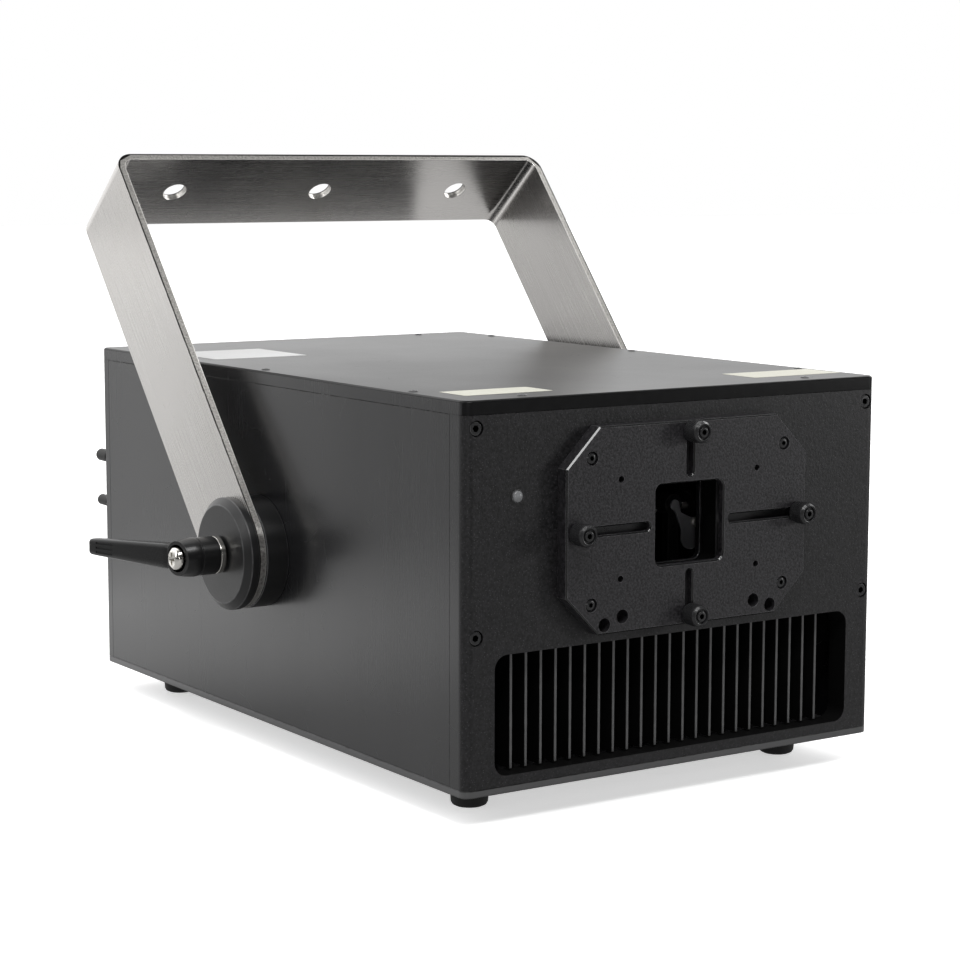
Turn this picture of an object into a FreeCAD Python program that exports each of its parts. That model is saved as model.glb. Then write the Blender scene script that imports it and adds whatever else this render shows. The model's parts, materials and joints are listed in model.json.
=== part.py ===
import FreeCAD, Part
import math
import os
import Sketcher
from FreeCAD import Placement, Rotation, Vector

# Laser show projector on a tilting yoke. Millimetres and degrees, +Z up, the beam leaves along -Y.
# The origin lies on the floor, under the middle of the whole part.

SIZES = {
    # housing
    "body_width": 310,
    "body_depth": 475,
    "body_height": 229,
    "corner_radius": 6,
    "cover_thickness": 8.5,
    "cover_chamfer": 1,
    "base_thickness": 4.5,
    "front_thickness": 15,
    "rear_thickness": 11.5,
    "side_thickness": 8,
    "gasket_width": 3,
    "gasket_thickness": 2,
    "gasket_margin": 2.5,
    # rubber feet
    "foot_radius": 11.5,
    "foot_tip_radius": 9.8,
    "foot_face_radius": 8.4,
    "foot_edge": 1.6,
    "foot_height": 18,
    "foot_inset_x": 35.5,
    "foot_inset_y": 48,
    # front panel
    "grille_margin": 21,
    "grille_low": 10.5,
    "grille_high": 81.5,
    "grille_radius": 8.5,
    "panel_screw_inset": 8.2,
    "panel_screw_high": 213,
    "panel_screw_low": 93,
    "panel_screw_radius": 4.65,
    "panel_screw_depth": 5,
    "lamp_offset": 118.8,
    "lamp_height": 172.5,
    "lamp_radius": 3.5,
    "lamp_depth": 6,
    "lamp_dome": 1.6,
    "lamp_dome_share": 0.7,
    # aperture plate
    "plate_width": 181,
    "plate_tall": 122.4,
    "plate_corner": 23.5,
    "plate_thickness": 9,
    "plate_chamfer": 0.9,
    "aperture_width": 51,
    "aperture_tall": 48.4,
    "aperture_radius": 4.5,
    "slot_width": 5,
    "slot_end_share": 0.96,
    "slot_start_x": 29.5,
    "slot_start_z": 28.2,
    "pin_hole_x": 51.3,
    "pin_hole_z": 29.4,
    "pin_hole_radius": 2,
    "plate_screw_x": 72.4,
    "plate_screw_z": 43,
    "plate_screw_radius": 4.2,
    "plate_screw_depth": 3,
    "wire_hole_x": 62.9,
    "wire_hole_z": 55.7,
    "rope_hole_x": 49.8,
    "rope_hole_z": 51.8,
    "plate_hole_radius": 4.25,
    "recess_depth": 4.2,
    # mask blades and their thumb screws
    "blade_thickness": 1,
    "blade_margin": 2,
    "blade_setback": 0.8,
    "blade_tail": 3.8,
    "running_clearance": 0.3,
    "knob_rest_x": 83,
    "knob_rest_z": 55,
    "knob_length": 12.5,
    "knob_radius": 6.5,
    "knob_neck_radius": 4.6,
    "knob_neck": 2.2,
    "knob_chamfer": 0.8,
    "knob_socket_radius": 2.9,
    "knob_socket_depth": 4,
    "knob_socket_angle": 15,
    "shank_radius": 2.2,
    # air tunnel: deck above it, finned heat sink and fans in it
    "deck_height": 86.5,
    "deck_thickness": 10,
    "sink_base": 6,
    "sink_side_gap": 22,
    "sink_depth": 330,
    "fin_count": 23,
    "fin_margin": 8.4,
    "fin_thickness": 2,
    "fin_setback": 9,
    "fin_floor_gap": 7,
    "fan_size": 70,
    "fan_depth": 25,
    "fan_count": 3,
    "fan_corner": 5,
    "fan_bore_radius": 33,
    "fan_strut": 4,
    "fan_strut_depth": 3,
    "fan_hub_radius": 15,
    "fan_hub_depth": 15,
    "fan_tip_gap": 1,
    "fan_axle_radius": 2,
    "fan_axle_length": 14,
    "blade_count": 7,
    "fan_blade_axial": 13,
    "fan_blade_sweep": 12,
    "fan_blade_thickness": 1.4,
    "vane_root_share": 0.87,
    "vane_reach_share": 0.96,
    "vent_width": 6,
    "vent_low": 14.5,
    "vent_high": 76.5,
    "vent_end_share": 0.33,
    # scanner behind the beam opening, with the beam measured from the deck
    "beam_height": 52.7,
    "window_opening_width": 58,
    "window_opening_tall": 55,
    "window_opening_radius": 5,
    "window_glass": 3,
    "window_lap": 3,
    "window_rim": 5,
    "window_frame_depth": 7,
    "window_frame_radius": 7,
    "scan_setback": 51,
    "scan_drop": 15,
    "motor_radius": 9,
    "motor_length": 40,
    "motor_y_start": 44,
    "motor_x_start": 17,
    "motor_bore_depth": 10,
    "galvo_shaft_radius": 2,
    "galvo_clamp_radius": 3.4,
    "galvo_clamp_length": 9,
    "galvo_grip_share": 0.33,
    "mirror_y_length": 26,
    "mirror_y_width": 15,
    "mirror_x_length": 18,
    "mirror_x_width": 11,
    "mirror_thickness": 1.4,
    "mirror_angle": 45,
    "block_wall": 24,
    "block_margin": 4,
    "block_foot": 12,
    "block_seat": 2,
    "shutter_pivot_x": 19,
    "shutter_pivot_rise": 4.5,
    "shutter_setback": 29.2,
    "shutter_thickness": 1.5,
    "shutter_hub_radius": 3.2,
    "shutter_neck_x": 2.7,
    "shutter_neck_drop": 5,
    "shutter_neck_width": 3.8,
    "shutter_flag_x": 12.5,
    "shutter_flag_high": 15.8,
    "shutter_flag_low": 21.2,
    "shutter_flag_radius": 7.3,
    "shutter_axle_radius": 1.6,
    "shutter_axle_depth": 8,
    "solenoid_radius": 6.5,
    "solenoid_length": 11,
    "solenoid_post_width": 8,
    "solenoid_post_depth": 6,
    # lasers and beam combiner on the deck
    "laser_spacing": 60,
    "laser_width": 46,
    "laser_tall": 58,
    "laser_edge": 3,
    "laser_snout_radius": 9,
    "laser_snout_length": 10,
    "laser_front_x": 55,
    "laser_wall_gap": 22,
    "combiner_x": 30,
    "combiner_count": 4,
    "post_radius": 7,
    "post_drop": 9,
    "combiner_mirror_width": 16,
    "combiner_mirror_tall": 18,
    "combiner_mirror_thickness": 2,
    # electronics on the deck
    "supply_width": 108,
    "supply_depth": 210,
    "supply_tall": 52,
    "supply_edge": 3,
    "supply_gap_x": 6,
    "supply_gap_y": 36,
    "board_thickness": 1.6,
    "driver_margin": 8,
    "standoff_radius": 3,
    "standoff_height": 8,
    "control_width": 190,
    "control_tall": 96,
    "control_gap": 28,
    # yoke and clamps
    "pivot_height": 113,
    "yoke_angle": 40,
    "yoke_reach": 301.5,
    "yoke_width": 71.2,
    "yoke_thickness": 5.1,
    "yoke_bend_radius": 12.6,
    "yoke_hole_radius": 8.5,
    "yoke_hole_spacing": 118,
    "boss_radius": 36,
    "boss_thickness": 15.5,
    "stud_radius": 5,
    "stud_depth": 10,
    "stud_gap": 1.6,
    "disc_radius": 36.2,
    "disc_band": 5.2,
    "disc_thickness": 9.2,
    "disc_face_radius": 31.5,
    "collar_radius": 12,
    "collar_thickness": 3.5,
    "core_radius": 6,
    "core_length": 13,
    "hub_radius": 12.2,
    "hub_waist": 12.4,
    "hub_length": 28,
    "hub_nose_radius": 10.2,
    "nose_screw_radius": 6.9,
    "nose_screw_head": 3.2,
    "nose_screw_sink": 0.3,
    "nose_screw_shank_radius": 2.5,
    "lever_lift": 4,
    "arm_reach": 82,
    "arm_angle": 21,
    "arm_start": 19,
    "arm_root_thickness": 10,
    "arm_tip_thickness": 7,
    "arm_root_tall": 17.5,
    "arm_tip_tall": 10.5,
    "arm_edge": 2.4,
    # back panel fittings
    "socket_flange_width": 26,
    "socket_flange_tall": 31,
    "socket_flange_thickness": 2.5,
    "socket_flange_radius": 3,
    "socket_radius": 11.8,
    "socket_proud": 8,
    "socket_sunk": 18,
    "socket_bore_radius": 9.3,
    "socket_bore_depth": 16,
    "socket_post_radius": 4.5,
    "socket_post_length": 10,
    "power_x": 112,
    "power_in_height": 178,
    "power_out_height": 140,
    "data_x": 60,
    "data_spacing": 36,
    "control_x": 42,
    "control_flange_width": 53,
    "control_flange_tall": 12.5,
    "control_shell_width": 39,
    "control_shell_tall": 8.5,
    "control_proud": 6,
    "key_x": 96,
    "key_height": 178,
    "key_barrel_radius": 9.5,
    "key_barrel_proud": 5,
    "key_barrel_sunk": 20,
    "key_slot_tall": 9,
    "key_slot_depth": 12,
    "key_blade_width": 2.2,
    "key_blade_tall": 7.6,
    "key_bow_radius": 10,
    "key_bow_thickness": 2.2,
    "key_hole_radius": 3,
    "key_reach": 26,
    "cap_inset": 8,
    "cap_reach": 20,
    "cap_neck": 5,
    "upper_cap_radius": 4.4,
    "upper_cap_height": 149,
    "lower_cap_radius": 3.9,
    "lower_cap_height": 116,
    "cap_neck_share": 0.7,
    # shared by all cuts and checks
    "overrun": 2,
    "tolerance": 0.001,
}

doc = FreeCAD.newDocument("laser_show_projector")
sheet = doc.addObject("Spreadsheet::Sheet", "Sizes")
for row, (alias, number) in enumerate(SIZES.items(), 1):
    sheet.set(f"A{row}", alias)
    sheet.set(f"B{row}", str(number))
    sheet.setAlias(f"B{row}", alias)
doc.recompute()


class Size:
    """A number that remembers the sheet formula it comes from."""

    def __init__(self, value, formula):
        self.value = float(value)
        self.formula = formula

    def __add__(self, other):
        other = as_size(other)
        return Size(self.value + other.value, f"({self.formula} + {other.formula})")

    def __sub__(self, other):
        other = as_size(other)
        return Size(self.value - other.value, f"({self.formula} - {other.formula})")

    def __mul__(self, other):
        other = as_size(other)
        return Size(self.value * other.value, f"({self.formula} * {other.formula})")

    def __truediv__(self, other):
        other = as_size(other)
        return Size(self.value / other.value, f"({self.formula} / {other.formula})")

    def __neg__(self):
        return as_size(0) - self


class SheetSizes:
    """Gives each cell of the sheet as a Size, by its alias."""

    def __getattr__(self, alias):
        return Size(sheet.get(alias), f"{sheet.Name}.{alias}")


def as_size(number):
    if isinstance(number, Size):
        return number
    return Size(number, repr(number))


def sine(angle):
    return Size(math.sin(math.radians(angle.value)), f"sin({angle.formula})")


def cosine(angle):
    return Size(math.cos(math.radians(angle.value)), f"cos({angle.formula})")


def link(item, path, size):
    item.setExpression(path, as_size(size).formula)


size = SheetSizes()
ALONG_X = Vector(1, 0, 0)
ALONG_Y = Vector(0, 1, 0)
ALONG_Z = Vector(0, 0, 1)
SIDES = (("left", -1), ("right", 1))

# places that many pieces share
half_width = size.body_width / 2
half_depth = size.body_depth / 2
middle_y = (size.plate_thickness + size.knob_length - size.key_reach) / 2
front_y = middle_y - half_depth
rear_y = middle_y + half_depth
base_z = size.foot_height
panel_height = size.body_height - size.cover_thickness - size.base_thickness
inner_width = size.body_width - size.side_thickness * 2
deck_top = size.deck_height + size.deck_thickness
beam_level = deck_top + size.beam_height
tunnel_middle = (size.base_thickness + size.deck_height) / 2
half_sink = inner_width / 2 - size.sink_side_gap
fin_reach = half_sink - size.fin_margin
fan_gap = (inner_width - size.fan_size * size.fan_count) / (size.fan_count + 1)
fan_step = size.fan_size + fan_gap
pivot_z = base_z + size.pivot_height
yoke_inner = half_width + size.boss_thickness + size.running_clearance
yoke_outer = yoke_inner + size.yoke_thickness
stud_hole_radius = size.stud_radius + size.running_clearance
disc_face = yoke_outer + size.disc_thickness
collar_start = disc_face + size.stud_gap
hub_start = collar_start + size.collar_thickness + size.running_clearance
hub_end = hub_start + size.hub_length

nodes = {}


def new_body(label, x=0, y=0, z=0):
    """An empty body of the part, placed at x, y, z and kept under its node name."""
    body = doc.addObject("PartDesign::Body", label)
    body.Label = label
    place(body, x, y, z)
    nodes[label] = body
    return body


def place(piece, x, y, z):
    link(piece, "Placement.Base.x", x)
    link(piece, "Placement.Base.y", y)
    link(piece, "Placement.Base.z", z)


def turn(piece, axis, angle):
    piece.Placement = Placement(piece.Placement.Base, Rotation(axis, angle.value))
    link(piece, "Placement.Rotation.Angle", angle)


def origin_feature(body, role):
    return [feature for feature in body.Origin.OriginFeatures if feature.Role == role][0]


def sketch_on(body, plane, offset=0):
    """A sketch on one of the body's own planes, moved along that plane's normal."""
    drawing = body.newObject("Sketcher::SketchObject", "Sketch")
    drawing.AttachmentSupport = [(origin_feature(body, plane + "_Plane"), "")]
    drawing.MapMode = "FlatFace"
    link(drawing, "AttachmentOffset.Base.z", offset)
    return drawing


def limit(drawing, kind, *where, by):
    """One dimension of a sketch, bound to its formula."""
    index = drawing.addConstraint(Sketcher.Constraint(kind, *where, as_size(by).value))
    link(drawing, f"Constraints[{index}]", by)


def fix_point(drawing, geometry, point, x, y):
    """Holds a sketch point at x, y from the sketch's origin."""
    for kind, axis, distance in (("DistanceX", -2, x), ("DistanceY", -1, y)):
        if isinstance(distance, int):
            drawing.addConstraint(Sketcher.Constraint("PointOnObject", geometry, point, axis))
        else:
            limit(drawing, kind, -1, 1, geometry, point, by=distance)


def outline(drawing, points):
    """A closed run of straight lines through the points."""
    corners = [Vector(as_size(x).value, as_size(y).value, 0) for x, y in points]
    first = drawing.GeometryCount
    for start, end in zip(corners, corners[1:] + corners[:1]):
        drawing.addGeometry(Part.LineSegment(start, end))
    for number, (x, y) in enumerate(points):
        before = first + (number - 1) % len(points)
        drawing.addConstraint(Sketcher.Constraint("Coincident", before, 2, first + number, 1))
        fix_point(drawing, first + number, 1, x, y)


def ring(drawing, radius, x=0, y=0):
    centre = Vector(as_size(x).value, as_size(y).value, 0)
    index = drawing.addGeometry(Part.Circle(centre, ALONG_Z, radius.value))
    limit(drawing, "Radius", index, by=radius)
    if isinstance(x, int) and isinstance(y, int):
        drawing.addConstraint(Sketcher.Constraint("Coincident", index, 3, -1, 1))
    else:
        fix_point(drawing, index, 3, x, y)


def rectangle(drawing, left, right, low, high):
    outline(drawing, [(left, low), (right, low), (right, high), (left, high)])


def rounded_rectangle(drawing, left, right, low, high, radius):
    """A rectangle with four tangent corner arcs of one radius."""
    x0, x1, y0, y1 = (as_size(edge).value for edge in (left, right, low, high))
    r = radius.value
    first = drawing.GeometryCount
    lines = [((x0 + r, y0), (x1 - r, y0)), ((x1, y0 + r), (x1, y1 - r)),
             ((x1 - r, y1), (x0 + r, y1)), ((x0, y1 - r), (x0, y0 + r))]
    for start, end in lines:
        drawing.addGeometry(Part.LineSegment(Vector(*start, 0), Vector(*end, 0)))
    centres = [(x1 - r, y0 + r), (x1 - r, y1 - r), (x0 + r, y1 - r), (x0 + r, y0 + r)]
    for quarter, centre in enumerate(centres):
        start = math.radians(90 * quarter - 90)
        circle = Part.Circle(Vector(*centre, 0), ALONG_Z, r)
        drawing.addGeometry(Part.ArcOfCircle(circle, start, start + math.pi / 2))
    for side in range(4):
        arc = first + 4 + side
        drawing.addConstraint(Sketcher.Constraint("Tangent", first + side, 2, arc, 1))
        drawing.addConstraint(Sketcher.Constraint("Tangent", arc, 2, first + (side + 1) % 4, 1))
        direction = "Horizontal" if side % 2 == 0 else "Vertical"
        drawing.addConstraint(Sketcher.Constraint(direction, first + side))
        if side:
            drawing.addConstraint(Sketcher.Constraint("Equal", first + 4, arc))
    limit(drawing, "Radius", first + 4, by=radius)
    limit(drawing, "DistanceY", -1, 1, first, 1, by=low)
    limit(drawing, "DistanceX", -1, 1, first + 1, 1, by=right)
    limit(drawing, "DistanceY", -1, 1, first + 2, 1, by=high)
    limit(drawing, "DistanceX", -1, 1, first + 3, 1, by=left)


def centred_rectangle(drawing, width, tall, radius, x=0, y=0):
    rounded_rectangle(drawing, x - width / 2, x + width / 2, y - tall / 2, y + tall / 2, radius)


def pad(body, drawing, length, side="One side", back=False):
    feature = body.newObject("PartDesign::Pad", "Pad")
    feature.Profile = drawing
    feature.SideType = side
    feature.Reversed = back
    link(feature, "Length", length)
    return feature


def pocket(body, drawing, length, back=False):
    """A cut against the sketch's normal, or along it where back is set."""
    feature = body.newObject("PartDesign::Pocket", "Pocket")
    feature.Profile = drawing
    feature.Reversed = back
    link(feature, "Length", length)
    return feature


def pocket_through(body, drawing):
    feature = body.newObject("PartDesign::Pocket", "Pocket")
    feature.Profile = drawing
    feature.Type = "ThroughAll"
    feature.SideType = "Symmetric"
    return feature


def revolve(body, drawing, axis, kind="Revolution"):
    feature = body.newObject("PartDesign::" + kind, kind)
    feature.Profile = drawing
    feature.ReferenceAxis = (drawing, [axis])
    return feature


def turned(body, plane, axis, points):
    """A solid of revolution: the points are a profile beside the sketch axis named."""
    drawing = sketch_on(body, plane)
    outline(drawing, points)
    return revolve(body, drawing, axis)


def repeat(body, features, axis, length, count, second=None):
    """A row of the features along a body axis, or a grid with a second axis, length and count."""
    pattern = body.newObject("PartDesign::LinearPattern", "Row")
    pattern.Originals = features
    pattern.Direction = (origin_feature(body, axis), [""])
    link(pattern, "Length", length)
    link(pattern, "Occurrences", count)
    if second:
        other_axis, other_length, other_count = second
        pattern.Direction2 = (origin_feature(body, other_axis), [""])
        link(pattern, "Length2", other_length)
        link(pattern, "Occurrences2", other_count)
    body.Tip = pattern
    return pattern


def repeat_round(body, features, axis, count):
    pattern = body.newObject("PartDesign::PolarPattern", "Round")
    pattern.Originals = features
    pattern.Axis = (origin_feature(body, axis), [""])
    link(pattern, "Occurrences", count)
    body.Tip = pattern
    return pattern


def edges_at(feature, direction, spots):
    """Names of the straight edges along a direction that pass through one of the spots."""
    doc.recompute()
    names = []
    for number, edge in enumerate(feature.Shape.Edges, 1):
        if edge.Curve.TypeId != "Part::GeomLine":
            continue
        if edge.Curve.Direction.cross(direction).Length > size.tolerance.value:
            continue
        start = edge.Vertexes[0].Point
        for spot in spots:
            place_of_spot = Vector(*(as_size(part).value for part in spot))
            if (place_of_spot - start).cross(direction).Length < size.tolerance.value:
                names.append(f"Edge{number}")
                break
    return names


def outer_face(feature, direction):
    """Name of the flat face that lies furthest along a direction."""
    doc.recompute()
    flat = []
    for number, face in enumerate(feature.Shape.Faces, 1):
        if face.Surface.TypeId == "Part::GeomPlane":
            if face.normalAt(0, 0).cross(direction).Length < size.tolerance.value:
                flat.append((face.CenterOfMass.dot(direction), f"Face{number}"))
    return max(flat)[1]


def soften(body, feature, names, radius):
    rounding = body.newObject("PartDesign::Fillet", "Fillet")
    rounding.Base = (feature, names)
    link(rounding, "Radius", radius)
    return rounding


def bevel(body, feature, names, width):
    chamfer = body.newObject("PartDesign::Chamfer", "Chamfer")
    chamfer.Base = (feature, names)
    link(chamfer, "Size", width)
    return chamfer


def mirrored(label, source):
    """The same piece on the other side of the part."""
    copy = doc.addObject("Part::Mirroring", label)
    copy.Label = label
    copy.Source = source
    copy.Normal = ALONG_X
    nodes[label] = copy
    return copy


def slab(label, left, right, front, back, low, high, edge=None):
    """A block between six planes of the part, its upright edges rounded where edge is given."""
    body = new_body(label, 0, 0, low)
    drawing = sketch_on(body, "XY")
    if edge is None:
        rectangle(drawing, left, right, front, back)
    else:
        rounded_rectangle(drawing, left, right, front, back, edge)
    pad(body, drawing, high - low)
    return body


# Housing

def make_bottom_plate():
    slab("bottom_plate", -half_width, half_width, front_y, rear_y,
         base_z, base_z + size.base_thickness, size.corner_radius)


def gasket_outline(drawing, play):
    """Outer and inner line of the seal, each moved apart by the play."""
    outer = size.gasket_margin - play
    inner = size.gasket_margin + size.gasket_width + play
    for inset, radius in ((outer, size.corner_radius - outer), (inner, size.corner_radius)):
        rounded_rectangle(drawing, inset - half_width, half_width - inset,
                          front_y + inset, rear_y - inset, radius)


def make_top_cover():
    body = new_body("top_cover", 0, 0, base_z + size.body_height - size.cover_thickness)
    drawing = sketch_on(body, "XY")
    rounded_rectangle(drawing, -half_width, half_width, front_y, rear_y, size.corner_radius)
    lid = pad(body, drawing, size.cover_thickness)
    lid = bevel(body, lid, [outer_face(lid, ALONG_Z)], size.cover_chamfer)
    groove = sketch_on(body, "XY")
    gasket_outline(groove, size.running_clearance)
    pocket(body, groove, size.gasket_thickness, back=True)


def make_lid_gasket():
    body = new_body("lid_gasket", 0, 0, base_z + size.body_height - size.cover_thickness)
    drawing = sketch_on(body, "XY")
    gasket_outline(drawing, as_size(0))
    pad(body, drawing, size.gasket_thickness)


def make_rubber_feet():
    body = new_body("rubber_feet", size.foot_inset_x - half_width, front_y + size.foot_inset_y, 0)
    foot = turned(body, "XZ", "V_Axis", [
        (0, 0), (size.foot_face_radius, 0), (size.foot_tip_radius, size.foot_edge),
        (size.foot_radius, size.foot_height), (0, size.foot_height)])
    repeat(body, [foot], "X_Axis", size.body_width - size.foot_inset_x * 2, 2,
           second=("Y_Axis", size.body_depth - size.foot_inset_y * 2, 2))


def upright_panel(label, y, thickness):
    """Front or rear panel: full width, with rounded outer edges at local y = 0."""
    body = new_body(label, 0, y, base_z)
    drawing = sketch_on(body, "XY", size.base_thickness)
    rectangle(drawing, -half_width, half_width, 0, thickness)
    panel = pad(body, drawing, panel_height)
    corners = edges_at(panel, ALONG_Z, [(-half_width, 0, 0), (half_width, 0, 0)])
    soften(body, panel, corners, size.corner_radius)
    return body


def make_front_panel():
    body = upright_panel("front_panel", front_y, size.front_thickness)
    openings = sketch_on(body, "XZ")
    half_grille = half_width - size.grille_margin
    rounded_rectangle(openings, -half_grille, half_grille,
                      size.grille_low, size.grille_high, size.grille_radius)
    centred_rectangle(openings, size.window_opening_width, size.window_opening_tall,
                      size.window_opening_radius, as_size(0), beam_level)
    pocket_through(body, openings)
    screws = sketch_on(body, "XZ")
    for side in (-1, 1):
        for height in (size.panel_screw_low, size.panel_screw_high):
            ring(screws, size.panel_screw_radius, (half_width - size.panel_screw_inset) * side, height)
    pocket(body, screws, size.panel_screw_depth)
    lamp = sketch_on(body, "XZ")
    ring(lamp, size.lamp_radius, -size.lamp_offset, size.lamp_height)
    pocket(body, lamp, size.lamp_depth)


def make_indicator_lens():
    body = new_body("indicator_lens", -size.lamp_offset, front_y, base_z + size.lamp_height)
    turned(body, "XY", "V_Axis", [
        (0, size.lamp_depth), (size.lamp_radius, size.lamp_depth), (size.lamp_radius, 0),
        (size.lamp_radius * size.lamp_dome_share, -size.lamp_dome), (0, -size.lamp_dome)])


def make_rear_panel():
    body = upright_panel("rear_panel", rear_y, -size.rear_thickness)
    vent = sketch_on(body, "XZ")
    rounded_rectangle(vent, -fin_reach - size.vent_width / 2, -fin_reach + size.vent_width / 2,
                      size.vent_low, size.vent_high, size.vent_width * size.vent_end_share)
    slot = pocket_through(body, vent)
    repeat(body, [slot], "X_Axis", fin_reach * 2, size.fin_count)
    holes = sketch_on(body, "XZ")
    sunk_radius = size.socket_radius + size.running_clearance
    ring(holes, sunk_radius, -size.power_x, size.power_in_height)
    ring(holes, sunk_radius, -size.power_x, size.power_out_height)
    ring(holes, sunk_radius, -size.data_x, size.power_in_height)
    ring(holes, sunk_radius, size.data_spacing - size.data_x, size.power_in_height)
    ring(holes, size.key_barrel_radius + size.running_clearance, size.key_x, size.key_height)
    pocket_through(body, holes)


def make_side_panels():
    for name, side in SIDES:
        outer = half_width * side
        inner = (half_width - size.side_thickness) * side
        slab(name + "_side_panel", outer, inner, front_y + size.front_thickness,
             rear_y - size.rear_thickness, base_z + size.base_thickness,
             base_z + size.base_thickness + panel_height)


# Air tunnel

def make_optical_deck():
    slab("optical_deck", -inner_width / 2, inner_width / 2, front_y + size.front_thickness,
         rear_y - size.rear_thickness, base_z + size.deck_height, base_z + deck_top)


def make_heat_sink():
    """Base under the deck with a row of hanging fins, whose front edges reach into the air opening."""
    body = new_body("heat_sink", 0, front_y, base_z)
    underside = size.deck_height - size.sink_base
    base = sketch_on(body, "XY", underside)
    front = size.front_thickness + size.running_clearance
    rectangle(base, -half_sink, half_sink, front, front + size.sink_depth)
    pad(body, base, size.sink_base)
    section = sketch_on(body, "XY", size.base_thickness + size.fin_floor_gap)
    rectangle(section, -fin_reach - size.fin_thickness / 2, -fin_reach + size.fin_thickness / 2,
              size.fin_setback, front + size.sink_depth)
    fin = pad(body, section, underside - size.base_thickness - size.fin_floor_gap)
    repeat(body, [fin], "X_Axis", fin_reach * 2, size.fin_count)


def make_fan_frames():
    """Square frames with a strut cross at the outlet, which holds the hub and its axle."""
    back = rear_y - size.rear_thickness
    body = new_body("fan_frames", -fan_step, back, base_z + tunnel_middle)
    square = sketch_on(body, "XZ")
    centred_rectangle(square, size.fan_size, size.fan_size, size.fan_corner, as_size(0), as_size(0))
    ring(square, size.fan_bore_radius)
    features = [pad(body, square, size.fan_depth)]
    reach = size.fan_bore_radius + size.running_clearance
    half = size.fan_strut / 2
    for across, upright in ((reach, half), (half, reach)):
        strut = sketch_on(body, "XZ")
        rectangle(strut, -across, across, -upright, upright)
        features.append(pad(body, strut, size.fan_strut_depth))
    hub = sketch_on(body, "XZ")
    ring(hub, size.fan_hub_radius)
    features.append(pad(body, hub, size.fan_strut_depth))
    axle = sketch_on(body, "XZ")
    ring(axle, size.fan_axle_radius)
    features.append(pad(body, axle, size.fan_strut_depth + size.fan_axle_length))
    repeat(body, features, "X_Axis", fan_step * 2, size.fan_count)


def make_fan_rotors():
    tip = size.fan_bore_radius - size.fan_tip_gap
    back = rear_y - size.rear_thickness - size.fan_strut_depth - size.running_clearance
    bore_depth = size.fan_axle_length
    for name, step in (("left", -1), ("centre", 0), ("right", 1)):
        body = new_body(f"fan_rotor_{name}", fan_step * step, back, base_z + tunnel_middle)
        hub = sketch_on(body, "XZ")
        ring(hub, size.fan_hub_radius)
        pad(body, hub, size.fan_hub_depth)
        root = size.fan_hub_radius * size.vane_root_share
        chord = sketch_on(body, "YZ", root)
        start = -size.running_clearance
        end = start - size.fan_blade_axial
        lift = size.fan_blade_sweep / 2
        outline(chord, [(start, -lift), (start - size.fan_blade_thickness, -lift),
                        (end, lift), (end + size.fan_blade_thickness, lift)])
        vane = pad(body, chord, (tip - root) * size.vane_reach_share)
        repeat_round(body, [vane], "Y_Axis", size.blade_count)
        bore = sketch_on(body, "XZ")
        ring(bore, size.fan_axle_radius + size.running_clearance)
        pocket(body, bore, bore_depth, back=True)


# Beam opening and scanner

def make_window():
    y = front_y + size.front_thickness
    z = base_z + beam_level
    glass_width = size.window_opening_width + size.window_lap * 2
    glass_tall = size.window_opening_tall + size.window_lap * 2
    glass = new_body("scan_window", 0, y, z)
    drawing = sketch_on(glass, "XZ")
    centred_rectangle(drawing, glass_width, glass_tall, size.window_opening_radius,
                      as_size(0), as_size(0))
    pad(glass, drawing, size.window_glass, back=True)
    frame = new_body("window_frame", 0, y, z)
    drawing = sketch_on(frame, "XZ")
    centred_rectangle(drawing, glass_width + size.window_rim * 2, glass_tall + size.window_rim * 2,
                      size.window_frame_radius, as_size(0), as_size(0))
    centred_rectangle(drawing, size.window_opening_width, size.window_opening_tall,
                      size.window_opening_radius, as_size(0), as_size(0))
    pad(frame, drawing, size.window_frame_depth, back=True)
    seat = sketch_on(frame, "XZ")
    play = size.running_clearance * 2
    centred_rectangle(seat, glass_width + play, glass_tall + play, size.window_opening_radius,
                      as_size(0), as_size(0))
    pocket(frame, seat, size.window_glass)


def make_scanner_block():
    """Foot on the deck with one wall for each galvanometer motor."""
    body = new_body("scanner_block", 0, front_y + size.scan_setback, base_z)
    half = size.motor_radius + size.block_margin
    wall_x = size.motor_y_start + size.block_seat
    wall_y = size.motor_x_start + size.block_seat
    foot = sketch_on(body, "XY", deck_top)
    rectangle(foot, -half, wall_x + size.block_wall, -half, wall_y + size.block_wall)
    pad(body, foot, size.block_foot)
    right = sketch_on(body, "XY", deck_top)
    rectangle(right, wall_x, wall_x + size.block_wall, -half, half)
    pad(body, right, size.beam_height + half)
    rear = sketch_on(body, "XY", deck_top)
    rectangle(rear, -half, half, wall_y, wall_y + size.block_wall)
    pad(body, rear, size.beam_height - size.scan_drop + half)
    seat = size.motor_radius + size.running_clearance
    across = sketch_on(body, "YZ", wall_x - size.overrun)
    ring(across, seat, 0, beam_level)
    pocket(body, across, size.block_wall + size.overrun * 2, back=True)
    along = sketch_on(body, "XZ", -wall_y + size.overrun)
    ring(along, seat, 0, beam_level - size.scan_drop)
    pocket(body, along, size.block_wall + size.overrun * 2)


def make_galvo_motors():
    y = front_y + size.scan_setback
    z = base_z + beam_level
    hole = size.galvo_shaft_radius + size.running_clearance
    body = new_body("galvo_motor_y", 0, y, z)
    start = size.motor_y_start
    end = start + size.motor_length
    turned(body, "XY", "H_Axis", [
        (start, hole), (start, size.motor_radius), (end, size.motor_radius), (end, 0),
        (start + size.motor_bore_depth, 0), (start + size.motor_bore_depth, hole)])
    body = new_body("galvo_motor_x", 0, y, z - size.scan_drop)
    start = size.motor_x_start
    end = start + size.motor_length
    turned(body, "XY", "V_Axis", [
        (hole, start), (size.motor_radius, start), (size.motor_radius, end), (0, end),
        (0, start + size.motor_bore_depth), (hole, start + size.motor_bore_depth)])


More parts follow.
